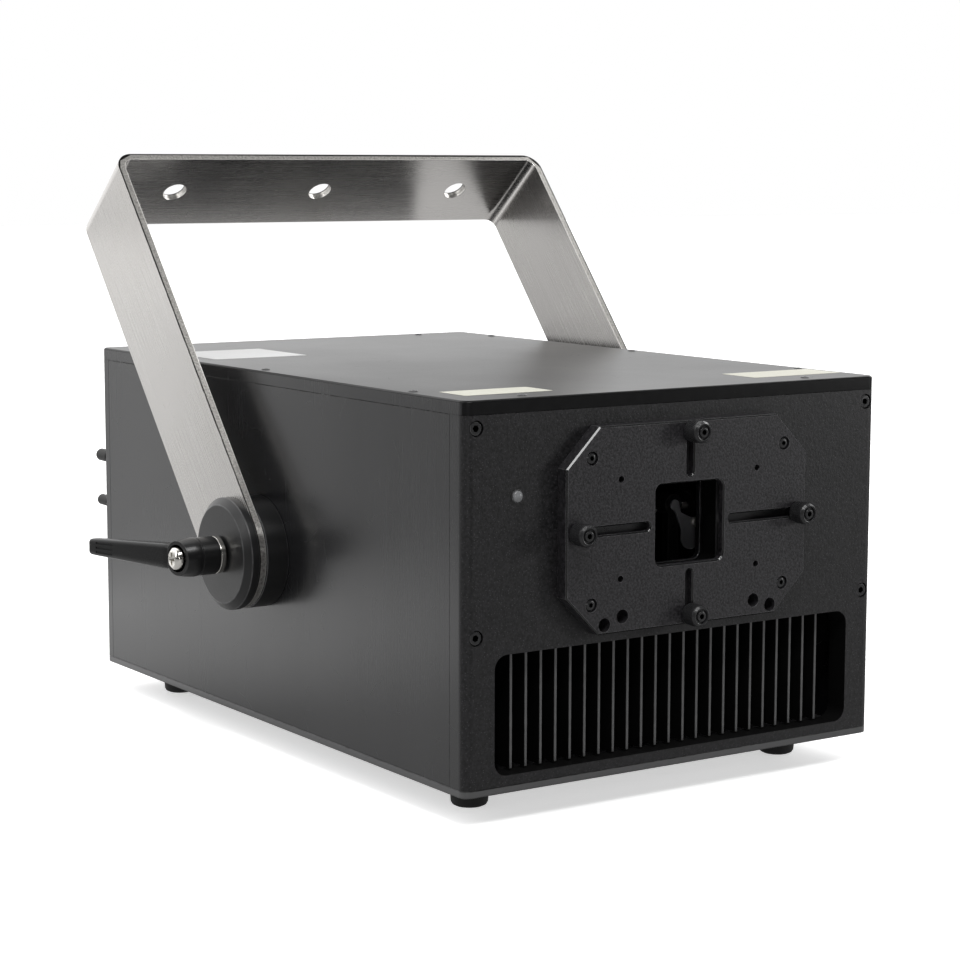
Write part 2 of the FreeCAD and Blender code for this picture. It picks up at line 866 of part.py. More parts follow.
def galvo_mirror(label, z, plane, length, width, shaft_end, back):
    """Thin mirror on the axis of its shaft, with a clamp sleeve at the end next to the motor."""
    body = new_body(label, 0, front_y + size.scan_setback, z)
    edge = length / 2 - size.galvo_clamp_length * size.galvo_grip_share
    diagonal = cosine(size.mirror_angle) / 2
    across = width * diagonal
    lift = size.mirror_thickness * diagonal
    slope = 1 if back else -1
    section = sketch_on(body, plane, length / 2 * slope)
    outline(section, [(-across - lift, (lift - across) * slope), (lift - across, (-across - lift) * slope),
                      (across + lift, (across - lift) * slope), (across - lift, (across + lift) * slope)])
    pad(body, section, length, back=back)
    for radius, end in ((size.galvo_clamp_radius, edge + size.galvo_clamp_length),
                        (size.galvo_shaft_radius, shaft_end)):
        round_section = sketch_on(body, plane, -edge * slope)
        ring(round_section, radius)
        pad(body, round_section, end - edge, back=back)


def make_galvo_mirrors():
    reach = size.motor_bore_depth - size.running_clearance
    z = base_z + beam_level
    galvo_mirror("galvo_mirror_y", z, "YZ", size.mirror_y_length, size.mirror_y_width,
                 size.motor_y_start + reach, back=False)
    galvo_mirror("galvo_mirror_x", z - size.scan_drop, "XZ", size.mirror_x_length,
                 size.mirror_x_width, size.motor_x_start + reach, back=True)


def make_shutter():
    """Rotary solenoid on a post, with the shutter hanging in front of it beside the beam."""
    x = size.shutter_pivot_x
    height = beam_level + size.shutter_pivot_rise
    arm_back = front_y + size.shutter_setback + size.shutter_thickness
    body = new_body("shutter_solenoid", x, arm_back + size.running_clearance, base_z + height)
    hole = size.shutter_axle_radius + size.running_clearance
    turned(body, "XY", "V_Axis", [
        (hole, 0), (size.solenoid_radius, 0), (size.solenoid_radius, size.solenoid_length),
        (0, size.solenoid_length), (0, size.shutter_axle_depth), (hole, size.shutter_axle_depth)])
    post = sketch_on(body, "XY", deck_top - height)
    rectangle(post, -size.solenoid_post_width / 2, size.solenoid_post_width / 2,
              as_size(0), size.solenoid_post_depth)
    pad(body, post, height - size.solenoid_radius / 2 - deck_top)
    arm = new_body("shutter_arm", x, arm_back, base_z + height)
    across = size.shutter_flag_x
    radius = size.shutter_flag_radius
    high = -size.shutter_flag_high
    low = -size.shutter_flag_low
    half_neck = size.shutter_neck_width / 2
    neck = sketch_on(arm, "XZ")
    outline(neck, [(-size.shutter_hub_radius, 0), (size.shutter_hub_radius, 0),
                   (size.shutter_neck_x + half_neck, -size.shutter_neck_drop), (across, high + radius),
                   (across, high), (across - radius, high),
                   (size.shutter_neck_x - half_neck, -size.shutter_neck_drop)])
    pad(arm, neck, size.shutter_thickness)
    flag = sketch_on(arm, "XZ")
    rectangle(flag, across - radius, across + radius, low, high)
    pad(arm, flag, size.shutter_thickness)
    for centre in (high, low):
        end = sketch_on(arm, "XZ")
        ring(end, radius, across, centre)
        pad(arm, end, size.shutter_thickness)
    hub = sketch_on(arm, "XZ")
    ring(hub, size.shutter_hub_radius)
    pad(arm, hub, size.shutter_thickness)
    axle = sketch_on(arm, "XZ")
    ring(axle, size.shutter_axle_radius)
    pad(arm, axle, size.shutter_axle_depth, back=True)


# Lasers, combiner and electronics

def make_lasers():
    """Three modules side by side, each with a snout at the height of the combiner mirrors."""
    beam = beam_level - size.scan_drop
    back = inner_width / 2 - size.laser_wall_gap
    length = back - size.laser_front_x
    for number, colour in enumerate(("red", "green", "blue"), 1):
        y = front_y + size.scan_setback + size.laser_spacing * number
        body = new_body(f"laser_module_{colour}", -back, y, base_z)
        drawing = sketch_on(body, "XY", deck_top)
        rounded_rectangle(drawing, as_size(0), length, -size.laser_width / 2,
                          size.laser_width / 2, size.laser_edge)
        pad(body, drawing, size.laser_tall)
        snout = sketch_on(body, "YZ", length)
        ring(snout, size.laser_snout_radius, 0, beam)
        pad(body, snout, size.laser_snout_length)


def make_combiner():
    """Row of posts on the deck, each with a small mirror at 45 degrees on top."""
    y = front_y + size.scan_setback
    post_top = beam_level - size.scan_drop - size.post_drop
    row = size.laser_spacing * (size.combiner_count - 1)
    body = new_body("mirror_posts", -size.combiner_x, y, base_z)
    drawing = sketch_on(body, "XY", deck_top)
    ring(drawing, size.post_radius)
    post = pad(body, drawing, post_top - deck_top)
    repeat(body, [post], "Y_Axis", row, size.combiner_count)
    body = new_body("combiner_mirrors", -size.combiner_x, y, base_z)
    drawing = sketch_on(body, "XY", post_top)
    diagonal = cosine(size.mirror_angle) / 2
    across = size.combiner_mirror_width * diagonal
    lift = size.combiner_mirror_thickness * diagonal
    outline(drawing, [(-across - lift, across - lift), (across - lift, -across - lift),
                      (across + lift, -across + lift), (-across + lift, across + lift)])
    glass = pad(body, drawing, size.combiner_mirror_tall)
    repeat(body, [glass], "Y_Axis", row, size.combiner_count)


def make_electronics():
    right = inner_width / 2 - size.supply_gap_x
    back = rear_y - size.rear_thickness - size.supply_gap_y
    left = right - size.supply_width
    front = back - size.supply_depth
    top = deck_top + size.supply_tall
    slab("power_supply", left, right, front, back, base_z + deck_top, base_z + top, size.supply_edge)
    margin = size.driver_margin
    board = new_body("driver_board", 0, 0, base_z + top)
    feet = sketch_on(board, "XY")
    ring(feet, size.standoff_radius, left + margin, front + margin)
    foot = pad(board, feet, size.standoff_height)
    sheet_of_board = sketch_on(board, "XY", size.standoff_height)
    inset = margin - size.standoff_radius
    rectangle(sheet_of_board, left + inset, right - inset, front + inset, back - inset)
    pad(board, sheet_of_board, size.board_thickness)
    repeat(board, [foot], "X_Axis", size.supply_width - margin * 2, 2,
           second=("Y_Axis", size.supply_depth - margin * 2, 2))
    y = rear_y - size.rear_thickness - size.control_gap
    slab("control_board", -size.control_width / 2, size.control_width / 2, y - size.board_thickness, y,
         base_z + deck_top, base_z + deck_top + size.control_tall)


# Aperture plate with its mask blades

def make_aperture_plate():
    body = new_body("aperture_plate", 0, front_y, base_z + beam_level)
    wide = size.plate_width / 2
    tall = size.plate_tall / 2
    cut = size.plate_corner
    drawing = sketch_on(body, "XZ")
    outline(drawing, [(-wide, cut - tall), (cut - wide, -tall), (wide - cut, -tall), (wide, cut - tall),
                      (wide, tall - cut), (wide - cut, tall), (cut - wide, tall), (-wide, tall - cut)])
    pad(body, drawing, size.plate_thickness)
    openings = sketch_on(body, "XZ")
    centred_rectangle(openings, size.aperture_width, size.aperture_tall, size.aperture_radius,
                      as_size(0), as_size(0))
    half = size.slot_width / 2
    end = size.shank_radius + size.running_clearance
    end_radius = half * size.slot_end_share
    for side in (-1, 1):
        inner, outer = size.slot_start_x * side, (size.knob_rest_x + end) * side
        left, right = (outer, inner) if side < 0 else (inner, outer)
        rounded_rectangle(openings, left, right, -half, half, end_radius)
        inner, outer = size.slot_start_z * side, (size.knob_rest_z + end) * side
        low, high = (outer, inner) if side < 0 else (inner, outer)
        rounded_rectangle(openings, -half, half, low, high, end_radius)
    cut_out = pocket_through(body, openings)
    bevel(body, cut_out, [outer_face(cut_out, -ALONG_Y)], size.plate_chamfer)
    recess_end = size.blade_tail + size.running_clearance
    blade_half_x = size.aperture_width / 2 + size.blade_margin + size.running_clearance
    blade_half_z = size.aperture_tall / 2 + size.blade_margin + size.running_clearance
    for across, upright in ((size.knob_rest_x + recess_end, blade_half_z),
                            (blade_half_x, size.knob_rest_z + recess_end)):
        recess = sketch_on(body, "XZ")
        rectangle(recess, -across, across, -upright, upright)
        pocket(body, recess, size.recess_depth, back=True)
    holes = sketch_on(body, "XZ")
    for side in (-1, 1):
        for level in (-1, 1):
            ring(holes, size.pin_hole_radius, size.pin_hole_x * side, size.pin_hole_z * level)
        ring(holes, size.plate_hole_radius, size.wire_hole_x * side, -size.wire_hole_z)
        ring(holes, size.plate_hole_radius, size.rope_hole_x * side, -size.rope_hole_z)
    pocket_through(body, holes)
    screws = sketch_on(body, "XZ", size.plate_thickness)
    for side in (-1, 1):
        for level in (-1, 1):
            ring(screws, size.plate_screw_radius, size.plate_screw_x * side, size.plate_screw_z * level)
    pocket(body, screws, size.plate_screw_depth)


def blade_back(layer):
    """Distance of a blade's back face in front of the panel. Layer 0 lies next to the plate."""
    step = size.blade_thickness + size.running_clearance
    return size.recess_depth - step * (layer + 1)


def mask_blade(name, layer, across, side):
    """A sliding blade: across is set for the left and right ones, side is the way it lies."""
    if across:
        rest, opening, other = size.knob_rest_x, size.aperture_width, size.aperture_tall
    else:
        rest, opening, other = size.knob_rest_z, size.aperture_tall, size.aperture_width
    body = new_body("mask_blade_" + name, 0, front_y, base_z + beam_level)
    inner = (opening / 2 + size.blade_setback) * side
    outer = (rest + size.blade_tail) * side
    start, end = (outer, inner) if side < 0 else (inner, outer)
    half = other / 2 + size.blade_margin
    drawing = sketch_on(body, "XZ", blade_back(layer))
    hole = size.shank_radius + size.running_clearance
    if across:
        rectangle(drawing, start, end, -half, half)
        ring(drawing, hole, rest * side, 0)
    else:
        rectangle(drawing, -half, half, start, end)
        ring(drawing, hole, 0, rest * side)
    pad(body, drawing, size.blade_thickness)


def thumb_screw(name, layer, x, z):
    """Turned knob with a neck and a hexagon socket. Its shank reaches the blade behind the plate."""
    body = new_body("thumb_screw_" + name, x, front_y, base_z + beam_level + z)
    tail = -blade_back(layer)
    seat = -size.plate_thickness - size.running_clearance
    neck = seat - size.knob_neck
    face = -size.plate_thickness - size.knob_length
    edge = size.knob_chamfer
    turned(body, "XY", "V_Axis", [
        (0, tail), (size.shank_radius, tail), (size.shank_radius, seat), (size.knob_neck_radius, seat),
        (size.knob_neck_radius, neck), (size.knob_radius - edge, neck), (size.knob_radius, neck - edge),
        (size.knob_radius, face + edge), (size.knob_radius - edge, face), (0, face)])
    socket = sketch_on(body, "XZ", -face)
    points = []
    for corner in range(6):
        angle = size.knob_socket_angle + 60 * corner
        points.append((size.knob_socket_radius * cosine(angle), size.knob_socket_radius * sine(angle)))
    outline(socket, points)
    pocket(body, socket, size.knob_socket_depth)


def make_masks():
    """Top and bottom blades share the layer next to the plate, left and right have one each."""
    for name, layer, across, side in (("top", 0, False, 1), ("bottom", 0, False, -1),
                                      ("left", 1, True, -1), ("right", 2, True, 1)):
        mask_blade(name, layer, across, side)
        if across:
            thumb_screw(name, layer, size.knob_rest_x * side, as_size(0))
        else:
            thumb_screw(name, layer, as_size(0), size.knob_rest_z * side)


# Yoke and its clamps

def make_yoke():
    """Flat strap bent to a U. Its legs end in full rounds about the pivot."""
    body = new_body("yoke_strap", 0, middle_y, pivot_z)
    top = size.yoke_reach
    under = top - size.yoke_thickness
    drawing = sketch_on(body, "XZ")
    outline(drawing, [(-yoke_outer, 0), (-yoke_inner, 0), (-yoke_inner, under), (yoke_inner, under),
                      (yoke_inner, 0), (yoke_outer, 0), (yoke_outer, top), (-yoke_outer, top)])
    strap = pad(body, drawing, size.yoke_width, side="Symmetric")
    outer_bends = edges_at(strap, ALONG_Y, [(-yoke_outer, 0, top), (yoke_outer, 0, top)])
    strap = soften(body, strap, outer_bends, size.yoke_bend_radius)
    inner_bends = edges_at(strap, ALONG_Y, [(-yoke_inner, 0, under), (yoke_inner, 0, under)])
    soften(body, strap, inner_bends, size.yoke_bend_radius - size.yoke_thickness)
    for start in (-yoke_outer, yoke_inner):
        leg_end = sketch_on(body, "YZ", start)
        ring(leg_end, size.yoke_width / 2)
        pad(body, leg_end, size.yoke_thickness)
    pivot = sketch_on(body, "YZ")
    ring(pivot, stud_hole_radius)
    pocket_through(body, pivot)
    holes = sketch_on(body, "XY", top + size.overrun)
    ring(holes, size.yoke_hole_radius)
    for side in (-1, 1):
        ring(holes, size.yoke_hole_radius, size.yoke_hole_spacing * side, 0)
    pocket(body, holes, size.yoke_thickness + size.overrun * 2)
    turn(body, ALONG_X, -size.yoke_angle)


def clamp_piece(name, points):
    """A turned piece of the right clamp and its mirror image on the left."""
    body = new_body("right_" + name, 0, middle_y, pivot_z)
    turned(body, "XY", "H_Axis", points)
    mirrored("left_" + name, body)
    return body


def make_clamps():
    boss_end = half_width + size.boss_thickness
    clamp_piece("pivot_boss", [
        (half_width, stud_hole_radius), (half_width, size.boss_radius),
        (boss_end, size.boss_radius), (boss_end, stud_hole_radius)])
    clamp_piece("clamp_disc", [
        (yoke_outer, stud_hole_radius), (yoke_outer, size.disc_radius),
        (yoke_outer + size.disc_band, size.disc_radius), (disc_face, size.disc_face_radius),
        (disc_face, stud_hole_radius)])
    collar_end = collar_start + size.collar_thickness
    core_end = collar_end + size.core_length
    clamp_piece("lever_insert", [
        (boss_end - size.stud_depth, 0), (boss_end - size.stud_depth, size.stud_radius),
        (collar_start, size.stud_radius), (collar_start, size.collar_radius),
        (collar_end, size.collar_radius), (collar_end, size.core_radius),
        (core_end, size.core_radius), (core_end, 0)])
    head_end = hub_end - size.nose_screw_sink
    head_start = head_end - size.nose_screw_head
    clamp_piece("lever_screw", [
        (core_end, 0), (core_end, size.nose_screw_shank_radius),
        (head_start, size.nose_screw_shank_radius), (head_start, size.nose_screw_radius),
        (head_end, size.nose_screw_radius), (head_end, 0)])
    make_levers(core_end, head_start)


def make_levers(core_end, head_start):
    """Hub with a canted, tapering arm, which lifts outward over the insert against the screw."""
    body = new_body("right_clamp_lever", 0, middle_y, pivot_z)
    waist = hub_start + size.hub_waist
    turned(body, "XY", "H_Axis", [
        (hub_start, 0), (hub_start, size.hub_radius), (waist, size.hub_radius),
        (hub_end, size.hub_nose_radius), (hub_end, 0)])
    plan = sketch_on(body, "XY")
    slope = sine(size.arm_angle)
    run = cosine(size.arm_angle)
    root_x = hub_start + size.arm_start
    tip_x = root_x + size.arm_reach * slope
    tip_y = size.arm_reach * run
    root = size.arm_root_thickness / 2
    tip = size.arm_tip_thickness / 2
    outline(plan, [(root_x - root * run, root * slope), (root_x + root * run, -root * slope),
                   (tip_x + tip * run, tip_y - tip * slope), (tip_x - tip * run, tip_y + tip * slope)])
    arm = pad(body, plan, size.arm_root_tall, side="Symmetric")
    tall = size.arm_root_tall / 2
    end = size.arm_tip_tall / 2
    wedges = sketch_on(body, "YZ", hub_start)
    far = tip_y + size.arm_tip_thickness
    for level in (-1, 1):
        outline(wedges, [(size.hub_radius, tall * level), (far, end * level),
                         (far, (tall + size.overrun) * level),
                         (size.hub_radius, (tall + size.overrun) * level)])
    shaped = pocket(body, wedges, size.hub_length + size.arm_reach, back=True)
    tip_edges = edges_at(shaped, ALONG_Z, [(tip_x + tip * run, tip_y - tip * slope, 0),
                                           (tip_x - tip * run, tip_y + tip * slope, 0)])
    soften(body, shaped, tip_edges, size.arm_edge)
    bore = sketch_on(body, "XY")
    play = size.running_clearance
    core_radius = size.core_radius + play
    shank_radius = size.nose_screw_shank_radius + play
    head_radius = size.nose_screw_radius + play
    floor = head_start - size.lever_lift - play
    outline(bore, [(hub_start - size.overrun, 0), (hub_start - size.overrun, core_radius),
                   (core_end + play, core_radius), (core_end + play, shank_radius),
                   (floor, shank_radius), (floor, head_radius), (hub_end + size.overrun, head_radius),
                   (hub_end + size.overrun, 0)])
    revolve(body, bore, "H_Axis", kind="Groove")
    mirrored("left_clamp_lever", body)


# Fittings on the back

def round_socket(body, x, z):
    """Flanged round socket with a contact post in its bore."""
    flange = sketch_on(body, "XZ")
    centred_rectangle(flange, size.socket_flange_width, size.socket_flange_tall,
                      size.socket_flange_radius, x, z)
    features = [pad(body, flange, size.socket_flange_thickness, back=True)]
    barrel = sketch_on(body, "XZ", size.socket_sunk)
    ring(barrel, size.socket_radius, x, z)
    features.append(pad(body, barrel, size.socket_sunk + size.socket_proud, back=True))
    bore = sketch_on(body, "XZ", -size.socket_proud)
    ring(bore, size.socket_bore_radius, x, z)
    features.append(pocket(body, bore, size.socket_bore_depth, back=True))
    post = sketch_on(body, "XZ", size.socket_bore_depth - size.socket_proud)
    ring(post, size.socket_post_radius, x, z)
    features.append(pad(body, post, size.socket_post_length, back=True))
    return features


def make_back_fittings():
    for name, height in (("power_inlet", size.power_in_height), ("power_outlet", size.power_out_height)):
        body = new_body(name, 0, rear_y, base_z)
        round_socket(body, -size.power_x, height)
    body = new_body("data_sockets", 0, rear_y, base_z)
    features = round_socket(body, -size.data_x, size.power_in_height)
    repeat(body, features, "X_Axis", size.data_spacing, 2)
    body = new_body("control_socket", -size.control_x, rear_y, base_z + size.power_out_height)
    flange = sketch_on(body, "XZ")
    centred_rectangle(flange, size.control_flange_width, size.control_flange_tall,
                      size.socket_flange_radius, as_size(0), as_size(0))
    pad(body, flange, size.socket_flange_thickness, back=True)
    shell = sketch_on(body, "XZ")
    centred_rectangle(shell, size.control_shell_width, size.control_shell_tall,
                      size.socket_flange_radius, as_size(0), as_size(0))
    pad(body, shell, size.control_proud, back=True)


def make_key_switch():
    z = base_z + size.key_height
    barrel = new_body("key_switch", size.key_x, rear_y, z)
    body_of_lock = sketch_on(barrel, "XZ", size.key_barrel_sunk)
    ring(body_of_lock, size.key_barrel_radius)
    pad(barrel, body_of_lock, size.key_barrel_sunk + size.key_barrel_proud, back=True)
    keyway = sketch_on(barrel, "XZ", -size.key_barrel_proud)
    ring(keyway, size.key_slot_tall / 2 + size.running_clearance)
    pocket(barrel, keyway, size.key_slot_depth, back=True)
    key = new_body("key", size.key_x, rear_y, z)
    blade = sketch_on(key, "XZ", size.key_slot_depth - size.key_barrel_proud - size.running_clearance)
    half = size.key_blade_tall / 2
    thin = size.key_blade_width / 2
    rectangle(blade, -thin, thin, -half, half)
    pad(key, blade, size.key_slot_depth + size.key_hole_radius, back=True)
    bow = sketch_on(key, "YZ", -size.key_bow_thickness / 2)
    middle = size.key_reach - size.key_bow_radius
    ring(bow, size.key_bow_radius, middle, 0)
    ring(bow, size.key_hole_radius, middle + size.key_hole_radius, 0)
    pad(key, bow, size.key_bow_thickness)


def make_port_caps():
    """Two flared caps on short necks, near the left edge of the rear panel."""
    body = new_body("rear_port_caps", size.cap_inset - half_width, rear_y, base_z)
    for radius, height in ((size.upper_cap_radius, size.upper_cap_height),
                           (size.lower_cap_radius, size.lower_cap_height)):
        neck = sketch_on(body, "XZ")
        ring(neck, radius * size.cap_neck_share, 0, height)
        pad(body, neck, size.cap_reach, back=True)
        flare = sketch_on(body, "XZ", -size.cap_neck)
        ring(flare, radius, 0, height)
        pad(body, flare, size.cap_reach - size.cap_neck, back=True)


make_bottom_plate()
make_rubber_feet()
make_front_panel()
make_rear_panel()
make_side_panels()
make_top_cover()
make_lid_gasket()
make_indicator_lens()
make_optical_deck()
make_heat_sink()
make_fan_frames()
make_fan_rotors()
make_window()
make_scanner_block()
make_galvo_motors()
make_galvo_mirrors()
make_shutter()
make_lasers()
make_combiner()
make_electronics()
make_aperture_plate()
make_masks()
make_yoke()
make_clamps()
make_back_fittings()
make_key_switch()
make_port_caps()
doc.recompute()

faults = [item.Name for item in doc.Objects if "Invalid" in item.State or "Error" in item.State]
for label, node in nodes.items():
    if node.Shape.isNull() or not node.Shape.isValid() or not node.Shape.Solids:
        faults.append(label)
if faults:
    raise RuntimeError("not built: " + ", ".join(faults))

os.makedirs("parts", exist_ok=True)
for label, node in nodes.items():
    node.Shape.exportStep(f"parts/{label}.step")
    print(f"{label}: {len(node.Shape.Solids)} solid(s), {node.Shape.Volume:.0f} cubic mm")
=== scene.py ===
import json
from math import atan2, copysign, cos, hypot, pi, radians, sin

import bmesh
import bpy
from mathutils import Matrix, Vector


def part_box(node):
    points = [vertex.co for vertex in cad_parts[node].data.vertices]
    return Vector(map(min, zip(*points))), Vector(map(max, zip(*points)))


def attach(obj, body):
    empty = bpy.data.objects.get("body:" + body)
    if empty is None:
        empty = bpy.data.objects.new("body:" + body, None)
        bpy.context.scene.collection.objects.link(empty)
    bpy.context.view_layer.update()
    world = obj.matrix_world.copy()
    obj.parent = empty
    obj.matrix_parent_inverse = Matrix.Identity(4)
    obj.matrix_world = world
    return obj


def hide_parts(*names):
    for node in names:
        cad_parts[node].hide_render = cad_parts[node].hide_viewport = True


# Looks of the laser show projector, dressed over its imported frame. Metres, +Z up, the beam leaves along -Y.

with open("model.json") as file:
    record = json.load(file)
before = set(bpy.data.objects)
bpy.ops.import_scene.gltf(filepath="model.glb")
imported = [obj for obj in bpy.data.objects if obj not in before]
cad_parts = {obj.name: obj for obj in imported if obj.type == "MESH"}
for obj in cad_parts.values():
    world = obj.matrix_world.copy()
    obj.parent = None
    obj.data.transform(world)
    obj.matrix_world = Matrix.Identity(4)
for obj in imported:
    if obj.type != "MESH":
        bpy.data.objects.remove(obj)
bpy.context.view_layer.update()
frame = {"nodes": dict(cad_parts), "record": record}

MM = 0.001
UP = Vector((0, 0, 1))
FORWARD = Vector((0, -1, 0))
BACKWARD = Vector((0, 1, 0))
OUTWARD = {"left": Vector((-1, 0, 0)), "right": Vector((1, 0, 0))}
SHARP_ANGLE = radians(52)
BEVEL_ANGLE = radians(28)
FLAT_ANGLE = radians(0.4)
MERGE = 1e-6
EDGE_BAND = "edge_band"
STRAP_MAP = "along_strap"


def low_corner(node):
    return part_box(node)[0]


def high_corner(node):
    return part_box(node)[1]


def middle(node):
    low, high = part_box(node)
    return (low + high) / 2


def in_mm(points):
    return [(first * MM, second * MM) for first, second in points]


def both(value):
    return -value, value


def pairs(firsts, seconds):
    return [(first, second) for first in firsts for second in seconds]


# places that the dressing shares with the frame
front_y = low_corner("front_panel").y
rear_y = high_corner("rear_panel").y
body_middle_y = (front_y + rear_y) / 2
half_width = high_corner("top_cover").x
cover_z = high_corner("top_cover").z
base_z = low_corner("bottom_plate").z
plate_y = low_corner("aperture_plate").y
beam = middle("aperture_plate")
pivot = middle("left_clamp_disc")
axis_point = Vector((0, pivot.y, pivot.z))
strap_x = high_corner("yoke_strap").x
yoke_lean = radians(40)
yoke_along = Vector((0, sin(yoke_lean), cos(yoke_lean)))
yoke_across = Vector((0, cos(yoke_lean), -sin(yoke_lean)))


# Shader helpers

NOISE_LOW, NOISE_HIGH = 0.3, 0.7  # most of a noise lies between these


def as_colour(value):
    """A colour with its alpha. It is given as a grey, as a grey and its blue, or in full."""
    parts = value if isinstance(value, tuple) else (value,)
    if len(parts) < 3:
        parts = (parts[0], parts[0], parts[-1])
    return (*parts, 1.0)


def feed(tree, socket, value):
    """Links a value to a socket, or sets it there."""
    if isinstance(value, bpy.types.NodeSocket):
        tree.links.new(value, socket)
    else:
        socket.default_value = as_colour(value) if socket.type == "RGBA" else value


def feed_named(tree, node, values):
    for key, value in values.items():
        feed(tree, node.inputs[key.replace("_", " ")], value)


def add_node(tree, kind, settings=None, ordered=(), **named):
    """A shader node with its settings made, and its inputs fed in order or by name."""
    made = tree.nodes.new("ShaderNode" + kind)
    for key, value in (settings or {}).items():
        setattr(made, key, value)
    for number, value in enumerate(ordered):
        feed(tree, made.inputs[number], value)
    feed_named(tree, made, named)
    return made


def calculate(tree, operation, *values):
    return add_node(tree, "Math", {"operation": operation}, values).outputs[0]


def add(tree, *values):
    total = values[0]
    for value in values[1:]:
        total = calculate(tree, "ADD", total, value)
    return total


def spread(tree, value, low, high, start, end):
    """The value, moved from start..end to low..high and kept inside."""
    return add_node(tree, "MapRange", Value=value, From_Min=start, From_Max=end, To_Min=low,
                    To_Max=high).outputs["Result"]


def noise(tree, place, scale, detail, rough=0.5):
    return add_node(tree, "TexNoise", Vector=place, Scale=scale, Detail=detail, Roughness=rough).outputs


def stretched(tree, place, scale):
    return add_node(tree, "Mapping", Vector=place, Scale=scale).outputs["Vector"]


def object_place(tree, scale=(1, 1, 1)):
    """Object coordinates, stretched."""
    return stretched(tree, add_node(tree, "TexCoord").outputs["Object"], scale)


def strap_place(tree, scale=(1, 1, 1)):
    """Stretched coordinates along the bent strap and across it, or through its sheet on cut edges."""
    return stretched(tree, add_node(tree, "UVMap", {"uv_map": STRAP_MAP}).outputs["UV"], scale)


def new_group(name, outputs, **floats):
    """An empty shader group that takes a place and the floats given, and its two ends."""
    group = bpy.data.node_groups.new(name, "ShaderNodeTree")
    group.interface.new_socket("Place", in_out="INPUT", socket_type="NodeSocketVector")
    for label, value in floats.items():
        socket = group.interface.new_socket(label, in_out="INPUT", socket_type="NodeSocketFloat")
        socket.default_value = value
    for label in outputs:
        group.interface.new_socket(label, in_out="OUTPUT", socket_type="NodeSocketFloat")
    return group, group.nodes.new("NodeGroupInput").outputs, group.nodes.new("NodeGroupOutput").inputs


def make_grain_group():
    """Fine coat texture: bumps of one size, and a few brighter flecks among them."""
    group, given, result = new_group("fine_grain", ("Height", "Flecks"), Grains=1200.0)
    bumps = noise(group, given["Place"], given["Grains"], 3.0, 0.6)
    cells = add_node(group, "TexVoronoi", Vector=given["Place"], Scale=given["Grains"])
    feed(group, result["Height"], bumps["Fac"])
    feed(group, result["Flecks"], spread(group, cells.outputs["Distance"], 1.0, 0.0, 0.04, 0.24))
    return group


def make_streak_group():
    """Brushing: long fine lines with slower bands under them, along the short axis of the place."""
    group, given, result = new_group("brushed_streaks", ("Lines", "Bands"))
    feed(group, result["Lines"], noise(group, given["Place"], 1.0, 5.0, 0.7)["Fac"])
    feed(group, result["Bands"], noise(group, given["Place"], 0.16, 2.0)["Fac"])
    return group


def make_wear_group():
    """Signs of use: soft clouds from handling, thin scratches and specks of dust."""
    group, given, result = new_group("signs_of_use", ("Clouds", "Scratches", "Dust"))
    place = given["Place"]
    clouds = noise(group, place, 9.0, 4.0, 0.55)["Fac"]
    warp = noise(group, place, 26.0, 1.0)["Color"]
    bent = add_node(group, "VectorMath", {"operation": "MULTIPLY_ADD"}, (warp, (0.02, 0.02, 0.02), place))
    scratch = add_node(group, "TexVoronoi", {"feature": "DISTANCE_TO_EDGE"}, Vector=bent.outputs[0], Scale=38.0)
    thin = spread(group, scratch.outputs["Distance"], 1.0, 0.0, 0.0, 0.006)
    gaps = spread(group, noise(group, place, 60.0, 2.0)["Fac"], 0.0, 1.0, 0.58, 0.66)
    specks = add_node(group, "TexVoronoi", Vector=place, Scale=300.0)
    dots = spread(group, specks.outputs["Distance"], 1.0, 0.0, 0.05, 0.09)
    sparse = spread(group, clouds, 0.0, 1.0, 0.56, 0.7)
    feed(group, result["Clouds"], clouds)
    feed(group, result["Scratches"], calculate(group, "MULTIPLY", thin, gaps))
    feed(group, result["Dust"], calculate(group, "MULTIPLY", dots, sparse))
    return group


def make_edge_group():
    """Mask of the rounded edges of a piece, a little uneven along them."""
    group, given, result = new_group("edge_band_mask", ("Edge",))
    band = add_node(group, "Attribute", {"attribute_name": EDGE_BAND}).outputs["Fac"]
    uneven = spread(group, noise(group, given["Place"], 140.0, 3.0)["Fac"], 0.35, 1.0, 0.35, 0.6)
    feed(group, result["Edge"], calculate(group, "MULTIPLY", band, uneven))
    return group


fine_grain = make_grain_group()
brushed_streaks = make_streak_group()
signs_of_use = make_wear_group()
edge_band_mask = make_edge_group()


